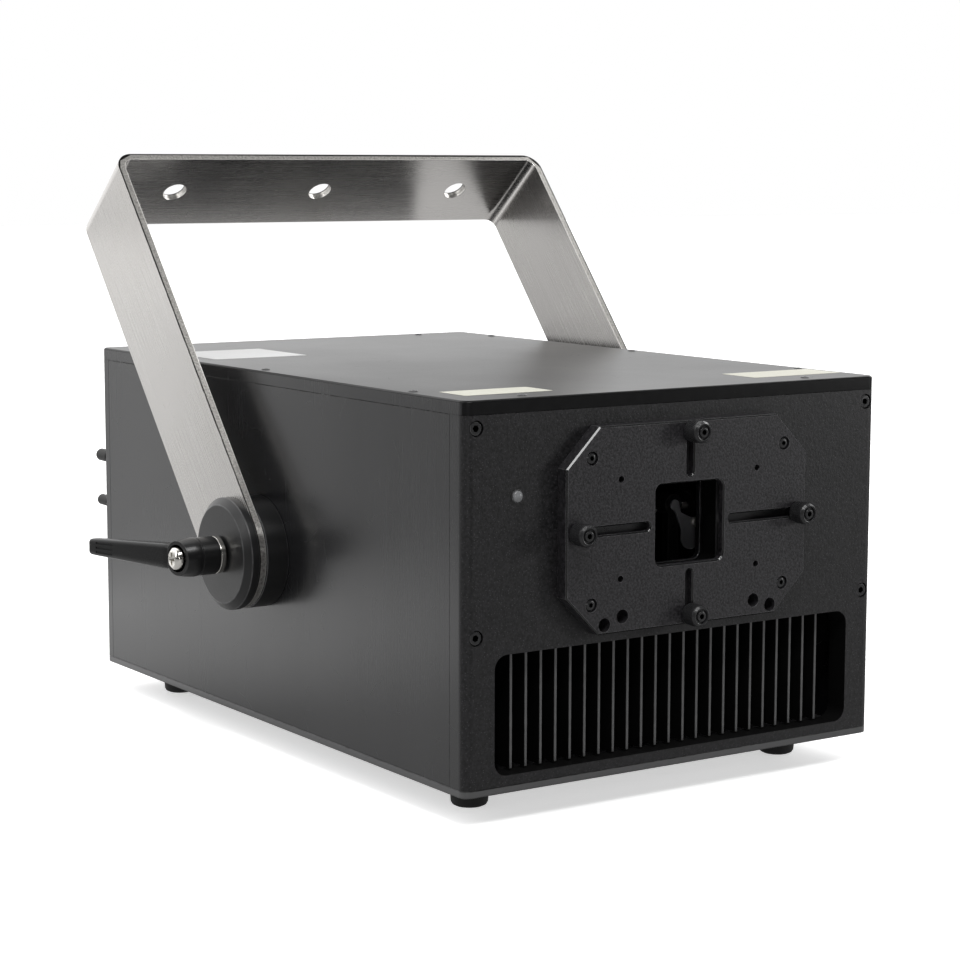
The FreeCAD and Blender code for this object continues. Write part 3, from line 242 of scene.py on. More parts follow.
class Finish:
    """A material under way: its tree, its main shader and the shared effects placed in it."""

    def __init__(self, name):
        self.material = bpy.data.materials.new(name)
        self.material.use_nodes = True
        self.tree = self.material.node_tree
        self.shader = next(n for n in self.tree.nodes if n.type == "BSDF_PRINCIPLED")
        self.place = object_place(self.tree)

    def connect(self, **sockets):
        """Feeds sockets of the main shader."""
        feed_named(self.tree, self.shader, sockets)

    def effect(self, group, place=None, **values):
        """The outputs of a shared effect in this material."""
        return add_node(self.tree, "Group", {"node_tree": group}, Place=place or self.place, **values).outputs

    def wear_and_edge_light(self):
        """Signs of use, and the mask of the rounded edges, where the finishes paint edge highlights and shade."""
        return self.effect(signs_of_use), self.effect(edge_band_mask)["Edge"]

    def colour(self, mask, first, second):
        made = add_node(self.tree, "Mix", {"data_type": "RGBA"}, (mask,))
        feed(self.tree, made.inputs[6], first)
        feed(self.tree, made.inputs[7], second)
        return made.outputs[2]

    def range(self, value, low, high, start=NOISE_LOW, end=NOISE_HIGH):
        return spread(self.tree, value, low, high, start, end)

    def between(self, value, first, second, start=NOISE_LOW, end=NOISE_HIGH):
        """A colour that goes from the first to the second as the value goes from start to end."""
        return self.colour(self.range(value, 0, 1, start, end), first, second)

    def laid_over(self, mask, share, under, top):
        """The colour under, covered up to the share where the mask is 1."""
        return self.colour(self.range(mask, 0, share, 0, 1), under, top)

    def roughness(self, fine, swing, use, low, high, scratched):
        """A roughness from low to high in clouds, swung by a fine texture and raised in scratches."""
        return add(self.tree, self.range(fine, -swing, swing), self.range(use["Clouds"], low, high),
                   self.range(use["Scratches"], 0, scratched, 0, 1))

    def relief(self, height, strength, depth):
        """A bump of the depth given, in millimetres."""
        return add_node(self.tree, "Bump", Height=height, Strength=strength, Distance=depth * MM).outputs["Normal"]


def anodised_finish(made, dark, pale, rough, lines_scale, brushing, bend, shaded_seams=False):
    """Satin black anodising with brushing along the axis whose scale is small. Its rounded edges are painted darker,
    and black as metal where shaded seams are wanted: painted shade in the seams.
    """
    made.connect(IOR=bend)
    streaks = made.effect(brushed_streaks, object_place(made.tree, lines_scale))
    use, edge = made.wear_and_edge_light()
    dusty = made.laid_over(use["Dust"], 0.5, made.between(streaks["Bands"], dark, pale), 0.22)
    # rounded edges painted darker: painted shade in the seams
    made.connect(Base_Color=made.colour(edge, dusty, 0.004),
                 Roughness=made.roughness(streaks["Lines"], brushing, use, rough - 0.015, rough + 0.015, 0.12),
                 Normal=made.relief(streaks["Lines"], brushing, 0.04))
    # edges made black metal: painted shade in the seams
    if shaded_seams:
        made.connect(Metallic=edge)


def powder_finish(made, dark, pale, rough, grains, depth, edge_light_colour):
    """Fine textured powder coat with a slight sparkle. Its rounded edges take the edge light colour, a painted
    highlight where it is paler than the coat.
    """
    made.connect(Specular_IOR_Level=0.4)
    grain = made.effect(fine_grain, Grains=grains)
    use, edge = made.wear_and_edge_light()
    body = made.between(grain["Height"], dark, pale, 0.37, 0.63)
    flecked = made.laid_over(grain["Flecks"], 0.55, body, (0.1, 0.095, 0.104))
    dusty = made.laid_over(use["Dust"], 0.4, flecked, 0.25)
    # rounded edges in the edge light colour: painted highlight where it is paler than the coat
    made.connect(Base_Color=made.colour(edge, dusty, edge_light_colour),
                 Roughness=made.roughness(grain["Height"], 0.06, use, rough - 0.04, rough + 0.05, 0),
                 Normal=made.relief(grain["Height"], 0.6, depth))


def coated_finish(made, dark, pale, rough, grains=900, depth=0.03, edge_light_colour=(0.06, 0.062), gloss=0.4):
    """Smooth satin coat or moulded plastic, with a faint orange peel, and a painted highlight on its rounded edges.
    """
    made.connect(Specular_IOR_Level=gloss)
    grain = made.effect(fine_grain, Grains=grains)["Height"]
    use, edge = made.wear_and_edge_light()
    dusty = made.laid_over(use["Dust"], 0.35, made.between(use["Clouds"], dark, pale), 0.2)
    # rounded edges painted paler: painted highlight
    made.connect(Base_Color=made.colour(edge, dusty, edge_light_colour),
                 Roughness=made.roughness(grain, 0.04, use, rough - 0.05, rough + 0.05, 0.1),
                 Normal=made.relief(grain, 0.3, depth))


def metal_finish(made, dark, pale, rough):
    """Bare turned or plated metal, slightly uneven."""
    made.connect(Metallic=1.0)
    grain = made.effect(fine_grain, Grains=1500)["Height"]
    use = made.effect(signs_of_use)
    made.connect(Base_Color=made.between(use["Clouds"], dark, pale),
                 Roughness=made.roughness(grain, 0.045, use, rough - 0.025, rough + 0.055, 0.15),
                 Normal=made.relief(grain, 0.15, 0.02))


# colour of the painted shade lines along the outer edges of the strap
PAINTED_SHADE_LINE = (0.02, 0.019, 0.018)
PAINTED_SHADE_DEPTHS = (0.7 * MM, 1.1 * MM)  # depth through the sheet where the painted shade line of a cut edge ends
PAINTED_HIGHLIGHT_DEPTHS = (4.2 * MM, 4.6 * MM)  # and where the painted highlight line begins


def strap_finish(made):
    """Brushed stainless steel, its lines along the length of the bent strap."""
    made.connect(Metallic=1.0, Anisotropic=0.75, Anisotropic_Rotation=0.25)
    lines = made.effect(brushed_streaks, strap_place(made.tree, (9, 1500, 1)))["Lines"]
    use, edge = made.wear_and_edge_light()
    shade = made.between(lines, (0.5, 0.485, 0.47), (0.6, 0.585, 0.57))
    stained = made.colour(made.range(use["Clouds"], 0, 0.5, 0.45, 0.75), shade, (0.53, 0.505, 0.48))
    tangent = add_node(made.tree, "Tangent", {"direction_type": "UV_MAP", "uv_map": STRAP_MAP})
    # outer rounded edges painted dark: painted shade line
    made.connect(Base_Color=made.colour(edge, stained, PAINTED_SHADE_LINE),
                 Roughness=made.roughness(lines, 0.05, use, 0.23, 0.3, 0.12),
                 Normal=made.relief(lines, 0.1, 0.02), Tangent=tangent.outputs["Tangent"])


def cut_edge_finish(made):
    """Cut edges of the strap: fine marks, a painted shade line at the outer side and a painted highlight line
    inside.
    """
    made.connect(Metallic=1.0)
    marks = made.effect(brushed_streaks, strap_place(made.tree, (700, 500, 1)))["Lines"]
    edge = made.effect(edge_band_mask)["Edge"]
    depth = add_node(made.tree, "SeparateXYZ", Vector=strap_place(made.tree)).outputs["Y"]
    # painted shade line at the outer side of the cut edge
    dark = calculate(made.tree, "MAXIMUM", edge, made.range(depth, 1, 0, *PAINTED_SHADE_DEPTHS))
    shade = made.between(marks, (0.22, 0.21, 0.2), (0.85, 0.83, 0.79))
    # painted highlight line at the inner side of the cut edge
    with_painted_highlight = made.between(depth, shade, (0.9, 0.88, 0.85), *PAINTED_HIGHLIGHT_DEPTHS)
    made.connect(Base_Color=made.colour(dark, with_painted_highlight, PAINTED_SHADE_LINE), Roughness=made.range(marks, 0.42, 0.26),
                 Normal=made.relief(marks, 0.35, 0.08))


def glass_finish(made, tint, pale, rough, bend, clear, cover):
    """Clear glass. A low bend stands for its anti-reflection coat, and a low cover lets light in."""
    made.connect(IOR=bend, Transmission_Weight=clear, Alpha=cover)
    clouds = made.effect(signs_of_use)["Clouds"]
    made.connect(Base_Color=made.between(clouds, tint, pale), Roughness=made.range(clouds, rough, rough + 0.03))


def board_finish(made):
    """Circuit board: green mask with paler tracks."""
    tracks = add_node(made.tree, "TexBrick", Vector=object_place(made.tree, (90, 90, 90)), Scale=1.0,
                      Mortar_Size=0.06).outputs["Fac"]
    made.connect(Base_Color=made.colour(tracks, (0.02, 0.1, 0.045), (0.05, 0.2, 0.09)),
                 Roughness=made.range(tracks, 0.4, 0.3, 0, 1))


def label_finish(made, dark, pale):
    """Blank adhesive foil: a little uneven, with faint creases."""
    use = made.effect(signs_of_use)
    grain = made.effect(fine_grain, Grains=500)["Height"]
    paper = made.between(use["Clouds"], dark, pale)
    made.connect(Base_Color=made.laid_over(use["Scratches"], 0.3, paper, (0.4, 0.39, 0.34)),
                 Roughness=made.range(grain, 0.42, 0.55), Normal=made.relief(use["Clouds"], 0.2, 0.2))


# the finishes by the function that makes them, with its values after the material
FINISH_ROWS = (
    (anodised_finish, {
        "side_anodised": ((0.008, 0.0088), (0.011, 0.012), 0.26, (420, 420, 5), 0.016, 1.6, True),
        "cover_anodised": ((0.006, 0.0063), (0.008, 0.0083), 0.3, (900, 700, 900), 0.01, 1.24),
        "base_anodised": ((0.06, 0.0615), (0.075, 0.0765), 0.34, (40, 40, 500), 0.02, 1.6),
        # fin fronts painted paler than the black heat sink: painted highlight
        "fin_tip": ((0.075, 0.076), (0.105, 0.106), 0.42, (8, 8, 900), 0.04, 1.5)}),
    (powder_finish, {
        "panel_powder": ((0.002, 0.0022), (0.013, 0.0124, 0.0138), 0.46, 640, 0.3, (0.008, 0.0085)),
        # the plate's pale edge colour is a painted highlight on its rounded edges
        "plate_powder": ((0.005, 0.0048, 0.0055), (0.028, 0.0265, 0.0295), 0.44, 680, 0.3, (0.2, 0.205))}),
    (coated_finish, {
        "turned_black": ((0.007, 0.0075), (0.01, 0.0105), 0.36),
        "cut_black": ((0.009, 0.0095), (0.012, 0.0125), 0.14),
        "lever_black": ((0.003, 0.0032), (0.005, 0.0053), 0.3, 1800, 0.005, (0.03, 0.031), 0.42),
        "matt_black": (0.002, 0.003, 0.6, 900, 0.03, 0.02, 0.15),
        "shutter_grey": ((0.085, 0.09), (0.11, 0.115), 0.5, 900, 0.03, (0.16, 0.165)),
        "black_oxide": ((0.014, 0.015), (0.022, 0.023), 0.3, 1600, 0.02, (0.14, 0.142)),
        "rubber_black": (0.01, 0.016, 0.62, 1100, 0.06, 0.03),
        "moulded_black": ((0.013, 0.014), (0.02, 0.021), 0.45, 1300, 0.05)}),
    (strap_finish, {"brushed_yoke_steel": ()}),
    (cut_edge_finish, {"cut_yoke_edge": ()}),
    (metal_finish, {
        "bright_nickel": ((0.66, 0.64, 0.6), (0.74, 0.72, 0.68), 0.16),
        "ground_steel": ((0.56, 0.55, 0.52), (0.67, 0.65, 0.62), 0.46),
        # stud painted dark: painted shade between the lever collar and the clamp disc
        "oiled_stud_steel": ((0.05, 0.052), (0.09, 0.092), 0.34),
        "milled_aluminium": ((0.58, 0.59), (0.68, 0.69), 0.36),
        "mirror_coat": ((0.8, 0.82, 0.85), (0.86, 0.88, 0.9), 0.05)}),
    (glass_finish, {
        "window_glass": ((0.93, 0.96, 0.96), 1.0, 0.0, 1.03, 1.0, 0.1),
        "lamp_glass": ((0.3, 0.305, 0.315), (0.36, 0.365, 0.375), 0.08, 1.45, 0.4, 1.0)}),
    (board_finish, {"circuit_board": ()}),
    (label_finish, {
        "cream_foil": ((0.41, 0.405, 0.335), (0.465, 0.46, 0.39)),
        "white_foil": (0.65, 0.72)}),
)
FINISHES = {}
for make_finish, rows in FINISH_ROWS:
    for name, values in rows.items():
        made = Finish(name)
        make_finish(made, *values)
        FINISHES[name] = made.material

# the finish of every node of the frame, and the width of its rounded edges in millimetres where a copy that
# is softened and no more stands for it
NODE_FINISH = (
    ("base_anodised", 0.6, "bottom_plate"),
    ("panel_powder", 0, "front_panel"),
    ("side_anodised", 0.5, "rear_panel"),
    ("side_anodised", 0.35, "left_side_panel right_side_panel"),
    ("cover_anodised", 0, "top_cover"),
    ("matt_black", 0, "heat_sink"),
    ("plate_powder", 0, "aperture_plate"),
    ("turned_black", 0.7, "left_pivot_boss right_pivot_boss"),
    ("turned_black", 0.5, "left_clamp_disc right_clamp_disc"),
    ("black_oxide", 0.12, "mask_blade_top mask_blade_bottom mask_blade_left mask_blade_right"),
    ("turned_black", 0.5, "window_frame"),
    ("shutter_grey", 0.25, "shutter_arm"),
    ("matt_black", 0.6, "shutter_solenoid"),
    ("matt_black", 0.5, "scanner_block"),
    ("matt_black", 0.6, "galvo_motor_x galvo_motor_y"),
    ("mirror_coat", 0, "galvo_mirror_x galvo_mirror_y combiner_mirrors"),
    ("moulded_black", 0.4, "power_inlet power_outlet data_sockets"),
    ("bright_nickel", 0.5, "key_switch"),
    ("bright_nickel", 0.35, "key"),
    ("bright_nickel", 0, "control_socket left_lever_insert right_lever_insert left_lever_screw right_lever_screw"),
    ("rubber_black", 0.7, "rear_port_caps"),
    ("rubber_black", 0, "lid_gasket rubber_feet"),
    ("moulded_black", 0, "fan_frames fan_rotor_left fan_rotor_centre fan_rotor_right"),
    ("milled_aluminium", 0, "optical_deck laser_module_red laser_module_green laser_module_blue mirror_posts"),
    ("turned_black", 0, "power_supply"),
    ("circuit_board", 0, "driver_board control_board"),
    ("window_glass", 0, "scan_window"),
    ("lamp_glass", 0, "indicator_lens"),
    ("brushed_yoke_steel", 0, "yoke_strap"),
    ("lever_black", 0, "left_clamp_lever right_clamp_lever"),
    ("black_oxide", 0, "thumb_screw_top thumb_screw_bottom thumb_screw_left thumb_screw_right"),
)
NODE_BODY = {node: body for body, members in frame["record"]["behaviour"]["bodies"].items() for node in members}
NODE_SLOT = {part["node"]: part["material_slot"] for part in frame["record"]["subparts"]}


# Mesh helpers

def kept_mesh(bm, name="source"):
    """The bmesh as a mesh."""
    mesh = bpy.data.meshes.new(name)
    bm.to_mesh(mesh)
    bm.free()
    return mesh


def link_object(name, data):
    made = bpy.data.objects.new(name, data)
    bpy.context.scene.collection.objects.link(made)
    return made


def finish_piece(name, bm, finishes, slot, body="housing", node=None):
    """Turns a bmesh into a piece that rides on a body, and stands for a node if one is given."""
    mesh = kept_mesh(bm, name)
    for finish in finishes.split():
        mesh.materials.append(FINISHES[finish])
    mesh.shade_smooth()
    mesh.set_sharp_from_angle(angle=SHARP_ANGLE)
    piece = link_object(name, mesh)
    piece.modifiers.new("even_shading", "WEIGHTED_NORMAL").keep_sharp = True
    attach(piece, body)
    if node:
        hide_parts(node)


def stand_in(node, bm, finishes, name=None):
    """A piece that stands for a node, on its body."""
    finish_piece(name or "soft_" + node, bm, finishes, NODE_SLOT[node], NODE_BODY[node], node)


def round_edges(bm, width, segments=2):
    """Rounds every sharp edge and marks the new faces as an edge band."""
    band = bm.faces.layers.float.get(EDGE_BAND) or bm.faces.layers.float.new(EDGE_BAND)
    sharp = [e for e in bm.edges if e.is_manifold and e.calc_face_angle(0.0) > BEVEL_ANGLE]
    made = bmesh.ops.bevel(bm, geom=sharp, offset=width, offset_type="OFFSET", segments=segments,
                           profile=0.5, affect="EDGES", clamp_overlap=True, material=-1)
    for face in made["faces"]:
        face[band] = 1.0


def node_copy(node):
    """The node's mesh with its loose triangles merged and its flat faces joined."""
    bm = bmesh.new()
    bm.from_mesh(frame["nodes"][node].data)
    bmesh.ops.remove_doubles(bm, verts=bm.verts, dist=MERGE)
    bmesh.ops.dissolve_limit(bm, angle_limit=FLAT_ANGLE, verts=bm.verts, edges=bm.edges,
                             use_dissolve_boundaries=False)
    return bm


def pick_finishes(bm, pick):
    """Gives every face the number of the finish that is picked for it."""
    for face in bm.faces:
        face.material_index = int(pick(face))


def softened(node, width, pick=lambda face: 0):
    """A copy of the node with its finishes picked, and then its edges rounded to a width in millimetres."""
    bm = node_copy(node)
    pick_finishes(bm, pick)
    round_edges(bm, width * MM)
    return bm


def dress_nodes():
    """Gives every node its finish, and softened edges where it shows them."""
    for finish, width, nodes in NODE_FINISH:
        for node in nodes.split():
            shown = frame["nodes"][node].data
            shown.materials.clear()
            shown.materials.append(FINISHES[finish])
            if width:
                stand_in(node, softened(node, width), finish)


def spin_profile(bm, profile, centre, axis, steps, closed=False):
    """Spins (radius, along) points round an axis."""
    axis = Vector(axis).normalized()
    side = axis.orthogonal().normalized()
    points = [bm.verts.new(centre + side * radius + axis * along) for radius, along in profile]
    ends = list(zip(points, points[1:]))
    if closed:
        ends.append((points[-1], points[0]))
    lines = [bm.edges.new(pair) for pair in ends]
    bmesh.ops.spin(bm, geom=points + lines, cent=centre, axis=axis, dvec=(0, 0, 0), angle=2 * pi,
                   steps=steps, use_merge=True, use_normal_flip=False, use_duplicate=False)
    bmesh.ops.remove_doubles(bm, verts=bm.verts, dist=MERGE / 10)


def turned_mesh(profile, centre=Vector(), axis=UP, steps=48, edge=0.0, closed=False):
    """A closed turned shape. Its profile and the width of its rounded edges are in millimetres."""
    bm = bmesh.new()
    spin_profile(bm, in_mm(profile), centre, axis, steps, closed)
    bmesh.ops.recalc_face_normals(bm, faces=bm.faces)
    if edge:
        round_edges(bm, edge * MM)
    return bm


def open_rim(bm, radius, along):
    """Boundary edges of a spun shape that lie at one radius and one place along +Z."""
    near = radius * 0.02 + MERGE
    return [e for e in bm.edges if e.is_boundary and all(
        abs(v.co.z - along) < near and abs(v.co.xy.length - radius) < near for v in e.verts)]


def outline_ring(bm, points, along):
    """A closed ring of edges through a few points at one height."""
    verts = [bm.verts.new((x, y, along)) for x, y in points]
    return verts, [bm.edges.new(pair) for pair in zip(verts, verts[1:] + verts[:1])]


def new_verts(made):
    return [g for g in made["geom"] if isinstance(g, bmesh.types.BMVert)]


def recessed_mesh(profile, recess, depth, taper, steps):
    """A spun shape about +Z, closed at its back, with a recess sunk into the rim that ends its profile."""
    bm = bmesh.new()
    spin_profile(bm, profile, Vector(), UP, steps)
    bmesh.ops.edgeloop_fill(bm, edges=open_rim(bm, *profile[0]))
    outline = outline_ring(bm, recess, profile[-1][1])[1]
    bmesh.ops.bridge_loops(bm, edges=open_rim(bm, *profile[-1]) + outline)
    floor_verts = new_verts(bmesh.ops.extrude_edge_only(bm, edges=outline))
    floor_edges = [e for e in bm.edges if e.is_boundary and all(v in floor_verts for v in e.verts)]
    bmesh.ops.scale(bm, vec=(taper, taper, 1), verts=floor_verts)
    bmesh.ops.translate(bm, vec=(0, 0, -depth), verts=floor_verts)
    bmesh.ops.edgeloop_fill(bm, edges=floor_edges)
    bmesh.ops.recalc_face_normals(bm, faces=bm.faces)
    return bm


def hexagon(radius):
    turns = [radians(60 * k + 15) for k in range(6)]
    return [(radius * cos(turn), radius * sin(turn)) for turn in turns]


def cross(reach, half):
    return [(half, half), (half, reach), (-half, reach), (-half, half), (-reach, half), (-reach, -half),
            (-half, -half), (-half, -reach), (half, -reach), (half, -half), (reach, -half), (reach, half)]


def facing(direction, place):
    """Turns +Z to the direction and moves to the place."""
    return Matrix.Translation(place) @ Vector(direction).to_track_quat("Z", "Y").to_matrix().to_4x4()


STAMP_TURN = 0.7  # from one copy to the next, so that their recesses don't line up


def stamp(source, matrices):
    """One bmesh with a copy of the source at each matrix."""
    mesh = kept_mesh(source)
    bm = bmesh.new()
    for number, matrix in enumerate(matrices):
        before = len(bm.verts)
        bm.from_mesh(mesh)
        bm.verts.ensure_lookup_table()
        spun = matrix @ Matrix.Rotation(STAMP_TURN * number, 4, "Z")
        bmesh.ops.transform(bm, matrix=spun, verts=bm.verts[before:])
    return bm


# Fasteners, in millimetres

DARK = ("black_oxide", "dark_steel")  # finish and slot
NICKEL = ("bright_nickel", "nickel")


def stamp_housing(name, source, direction, places, looks=NICKEL):
    """Copies of a shape at places of the housing, turned to one direction, as one piece."""
    finish_piece(name, stamp(source, [facing(direction, place) for place in places]), *looks)


def screw_mesh(profile, recess, depth, taper=0.92, steps=28, edge=0.0):
    """A screw head about +Z. The profile ends at the open rim that the recess is sunk into."""
    bm = recessed_mesh(in_mm(profile), in_mm(recess), depth * MM, taper, steps)
    if edge:
        round_edges(bm, edge * MM, 1)
    return bm


def cap_screw(radius, height, socket):
    """Socket cap screw, its face at 0."""
    return screw_mesh([(radius, -height), (radius, -0.5), (radius - 0.5, 0), (socket * 1.35, 0)],
                      hexagon(socket), socket * 1.4, edge=0.12)


def button_screw(radius, height, socket):
    """Low domed screw with a socket, its underside at 0."""
    return screw_mesh([(radius, 0), (radius, height * 0.3), (radius * 0.9, height * 0.68),
                       (radius * 0.7, height * 0.93), (socket * 1.3, height)],
                      hexagon(socket), height * 0.8, edge=0.08)


def cross_screw(radius, height, reach, shank=0.0, length=0.0):
    """Domed screw with a cross recess, its underside at 0, on a shank where one is given."""
    stem = [(shank, -length), (shank, 0)] if shank else []
    return screw_mesh(stem + [(radius, 0), (radius, height * 0.4), (radius * 0.92, height * 0.72),
                              (radius * 0.74, height * 0.92), (reach * 1.2, height)],
                      cross(reach, reach * 0.27), height * 0.6, taper=0.62, steps=36)


def make_fasteners():
    """Screws of the front panel, the aperture plate, the cover, the rear panel and the base."""
    panel_x, side_x = half_width - 8.2 * MM, half_width - 7.5 * MM
    stamp_housing("front_panel_screws", cap_screw(4.25, 4.2, 2.25), FORWARD,
                  [(x, front_y + 0.8 * MM, base_z + z * MM) for x, z in pairs(both(panel_x), (93, 213))], DARK)
    stamp_housing("plate_screws", button_screw(3.95, 2.6, 1.6), FORWARD,
                  [(x * MM, plate_y + 3 * MM, beam.z + z * MM) for x, z in pairs(both(72.4), both(43))], DARK)
    spots = pairs(both(side_x), (-172, 6, 184)) + pairs(both(107 * MM), both(225))
    stamp_housing("cover_screws", button_screw(2.9, 0.9, 1.2), UP,
                  [(x, body_middle_y + y * MM, cover_z - 0.15 * MM) for x, y in spots], DARK)
    stamp_housing("rear_panel_screws", button_screw(4.2, 2.2, 1.7), BACKWARD,
                  [(x, rear_y, base_z + z * MM) for x, z in pairs(both(panel_x), (14, 93, 213))], DARK)
    spots = pairs(both(side_x), (-230, -115, 0, 115, 230)) + pairs((-75 * MM, 0, 75 * MM), both(230))
    stamp_housing("base_screws", button_screw(3.2, 1.4, 1.3), -UP,
                  [(x, body_middle_y + y * MM, base_z) for x, y in spots])


# Yoke

STRAP_REACH = 301.5 * MM
STRAP_BEND = 12.6 * MM
STRAP_THICKNESS = 5.1 * MM
STRAP_EDGE = 0.8 * MM


def strap_run(x, height):
    """Distance along the strap from the middle of its bar, signed by side."""
    past = abs(x) - strap_x + STRAP_BEND
    above = height - STRAP_REACH + STRAP_BEND
    run = abs(x) - max(past, 0)
    if past > 0:
        turned_by = atan2(past, above) if above > 0 else pi / 2
        run += (STRAP_BEND - STRAP_THICKNESS / 2) * turned_by - min(above, 0)
    return copysign(run, x)


def is_cut_edge(face):
    """True on the long edges of the strap, its round ends and the walls of its holes."""
    place = face.calc_center_median() - axis_point
    height = place.dot(yoke_along)
    hole = (abs(face.normal.dot(yoke_along)) < 0.3 and abs(place.x) < strap_x - STRAP_BEND * 2
            and height > STRAP_REACH - STRAP_THICKNESS)
    end = abs(face.normal.x) < 0.3 and height < STRAP_BEND
    return hole or end or abs(face.normal.dot(yoke_across)) > 0.7


def looks_out(face):
    """True where a face of the strap looks away from the inside of the yoke."""
    sideways = copysign(face.normal.x, face.normal.x * face.calc_center_median().x)
    return sideways + max(0.0, face.normal.dot(yoke_along)) > 0.1


def make_strap():
    """The strap, with coordinates for its brushing and painted shade lines only on its outer edges."""
    bm = node_copy("yoke_strap")
    pick_finishes(bm, is_cut_edge)
    flat = bm.loops.layers.uv.new(STRAP_MAP)
    for face in bm.faces:
        for loop in face.loops:
            place = loop.vert.co - axis_point
            second = place.dot(yoke_across)
            # cut faces get depth 0 by an outer edge, for the painted shade line, and the full thickness inside, for
            # the painted highlight line
            if face.material_index:
                outside = any(looks_out(f) for f in loop.vert.link_faces if not f.material_index)
                second = 0.0 if outside else STRAP_THICKNESS
            loop[flat].uv = (strap_run(place.x, place.dot(yoke_along)), second)
    round_edges(bm, STRAP_EDGE, 3)
    # the edge band, painted dark as shade, stays only on outer edges
    band = bm.faces.layers.float[EDGE_BAND]
    for face in bm.faces:
        if not looks_out(face):
            face[band] = 0.0
    stand_in("yoke_strap", bm, "brushed_yoke_steel cut_yoke_edge")


# Clamp levers

HUB_LENGTH = 28 * MM
HUB_OVER_SCREW = 0.3 * MM
HUB_EDGE = 0.25 * MM
SCREW_SINK = 3.5 * MM
STUD_RADIUS = 6.5 * MM
# half section of the hub in millimetres, as (radius, distance from its inner end)
HUB_PROFILE = ((6.4, 0), (11.7, 0), (12.2, 0.5), (12.2, 11.7), (11.7, 11.9), (11.7, 12.6), (12.3, 12.8),
               (12.5, 15), (12.3, 18), (11.7, 22), (10.9, 26), (10.2, 29), (9.0, 29), (8.6, 20.3),
               (2.9, 20.3), (2.9, 13.2), (6.4, 13.2))
ARM_ANGLE = radians(21)
ARM_START = 19 * MM
# millimetres along the arm from inside the hub to the rounded tip, and the share of the full section there
ARM_STATIONS = ((5, 0.74), (9.5, 0.86), (13, 0.97), (16, 1), (40, 1), (60, 1), (75, 1), (80, 0.98),
                (81.4, 0.88), (82, 0.68))
GRIP_STATIONS = slice(5, 7)
ARM_ROOT, ARM_TIP = (10, 17.5), (7, 10.5)  # thickness and height in millimetres
NOSE_SLANT = radians(12)
NOSE_DROP = 2.6 * MM
GRIP_SHARES = ((0.42, 0.64), (-0.11, 0.11), (-0.64, -0.42))
GRIP_INSET, GRIP_DEPTH = 0.35 * MM, 0.55 * MM


def cut_nose(bm, outward, hub_end):
    """Cuts the nose at a slant, lower at the front, so that the screw head shows there."""
    slope = outward * cos(NOSE_SLANT) + FORWARD * sin(NOSE_SLANT)
    cut = bmesh.ops.bisect_plane(bm, geom=bm.verts[:] + bm.edges[:] + bm.faces[:], dist=MERGE / 10,
                                 plane_co=axis_point + outward * (hub_end - NOSE_DROP), plane_no=slope,
                                 clear_outer=True)
    bmesh.ops.bridge_loops(bm, edges=[g for g in cut["geom_cut"] if isinstance(g, bmesh.types.BMEdge)])


def arm_section():
    """Rounded section of the arm in half sizes, with the marks of the grip grooves on its outer face."""
    points = [(1, z) for pair in reversed(GRIP_SHARES) for z in pair]
    for n, z in ((1, 1), (-1, 1), (-1, -1), (1, -1)):
        corner = [(n * 0.94, z * 0.74), (n * 0.84, z * 0.9), (n * 0.56, z)]
        points += corner if n * z > 0 else corner[::-1]
    return points


def arm_stations():
    """Distance along the arm, its thickness and its height."""
    for along, shrink in ARM_STATIONS:
        share = along / ARM_STATIONS[-1][0]
        thickness, tall = (root + (tip - root) * share for root, tip in zip(ARM_ROOT, ARM_TIP))
        yield along * MM, thickness * shrink * MM, tall * shrink * MM


def station_frame(root, ahead, outer, along, thickness, tall):
    """Maps the unit section to one station of the arm."""
    axes = Matrix((outer * thickness / 2, UP * tall / 2, ahead)).transposed().to_4x4()
    return Matrix.Translation(root + ahead * along) @ axes


def make_arm(outward, hub_start):
    ahead = outward * sin(ARM_ANGLE) + BACKWARD * cos(ARM_ANGLE)
    outer = outward * cos(ARM_ANGLE) - BACKWARD * sin(ARM_ANGLE)
    root = axis_point + outward * (hub_start + ARM_START)
    bm = bmesh.new()
    verts, ring = outline_ring(bm, arm_section(), 0)
    stations = list(arm_stations())
    held = Matrix.Identity(4)
    for number, station in enumerate(stations):
        goal = station_frame(root, ahead, outer, *station)
        if number:
            verts = new_verts(bmesh.ops.extrude_edge_only(bm, edges=ring))
            ring = [e for e in bm.edges if e.verts[0] in verts and e.verts[1] in verts]
        else:
            bmesh.ops.edgeloop_fill(bm, edges=ring)
        bmesh.ops.transform(bm, matrix=goal @ held.inverted(), verts=verts)
        held = goal
    bmesh.ops.edgeloop_fill(bm, edges=ring)
    bmesh.ops.recalc_face_normals(bm, faces=bm.faces)
    cut_grips(bm, root, ahead, outer, *stations[GRIP_STATIONS])
    return kept_mesh(bm)


def cut_grips(bm, root, ahead, outer, first, last):
    """Sinks the three grooves between two stations near the tip of the arm."""
    middle_along = (first[0] + last[0]) / 2
    tall = (first[2] + last[2]) / 2
    grooves = []
    for face in bm.faces:
        place = face.calc_center_median() - root
        level = place.z * 2 / tall
        if abs(place.dot(ahead) - middle_along) < MM and place.dot(outer) > 0 and any(
                low - 0.02 < level < high + 0.02 for low, high in GRIP_SHARES):
            grooves.append(face)
    bmesh.ops.inset_individual(bm, faces=grooves, thickness=GRIP_INSET, depth=-GRIP_DEPTH)


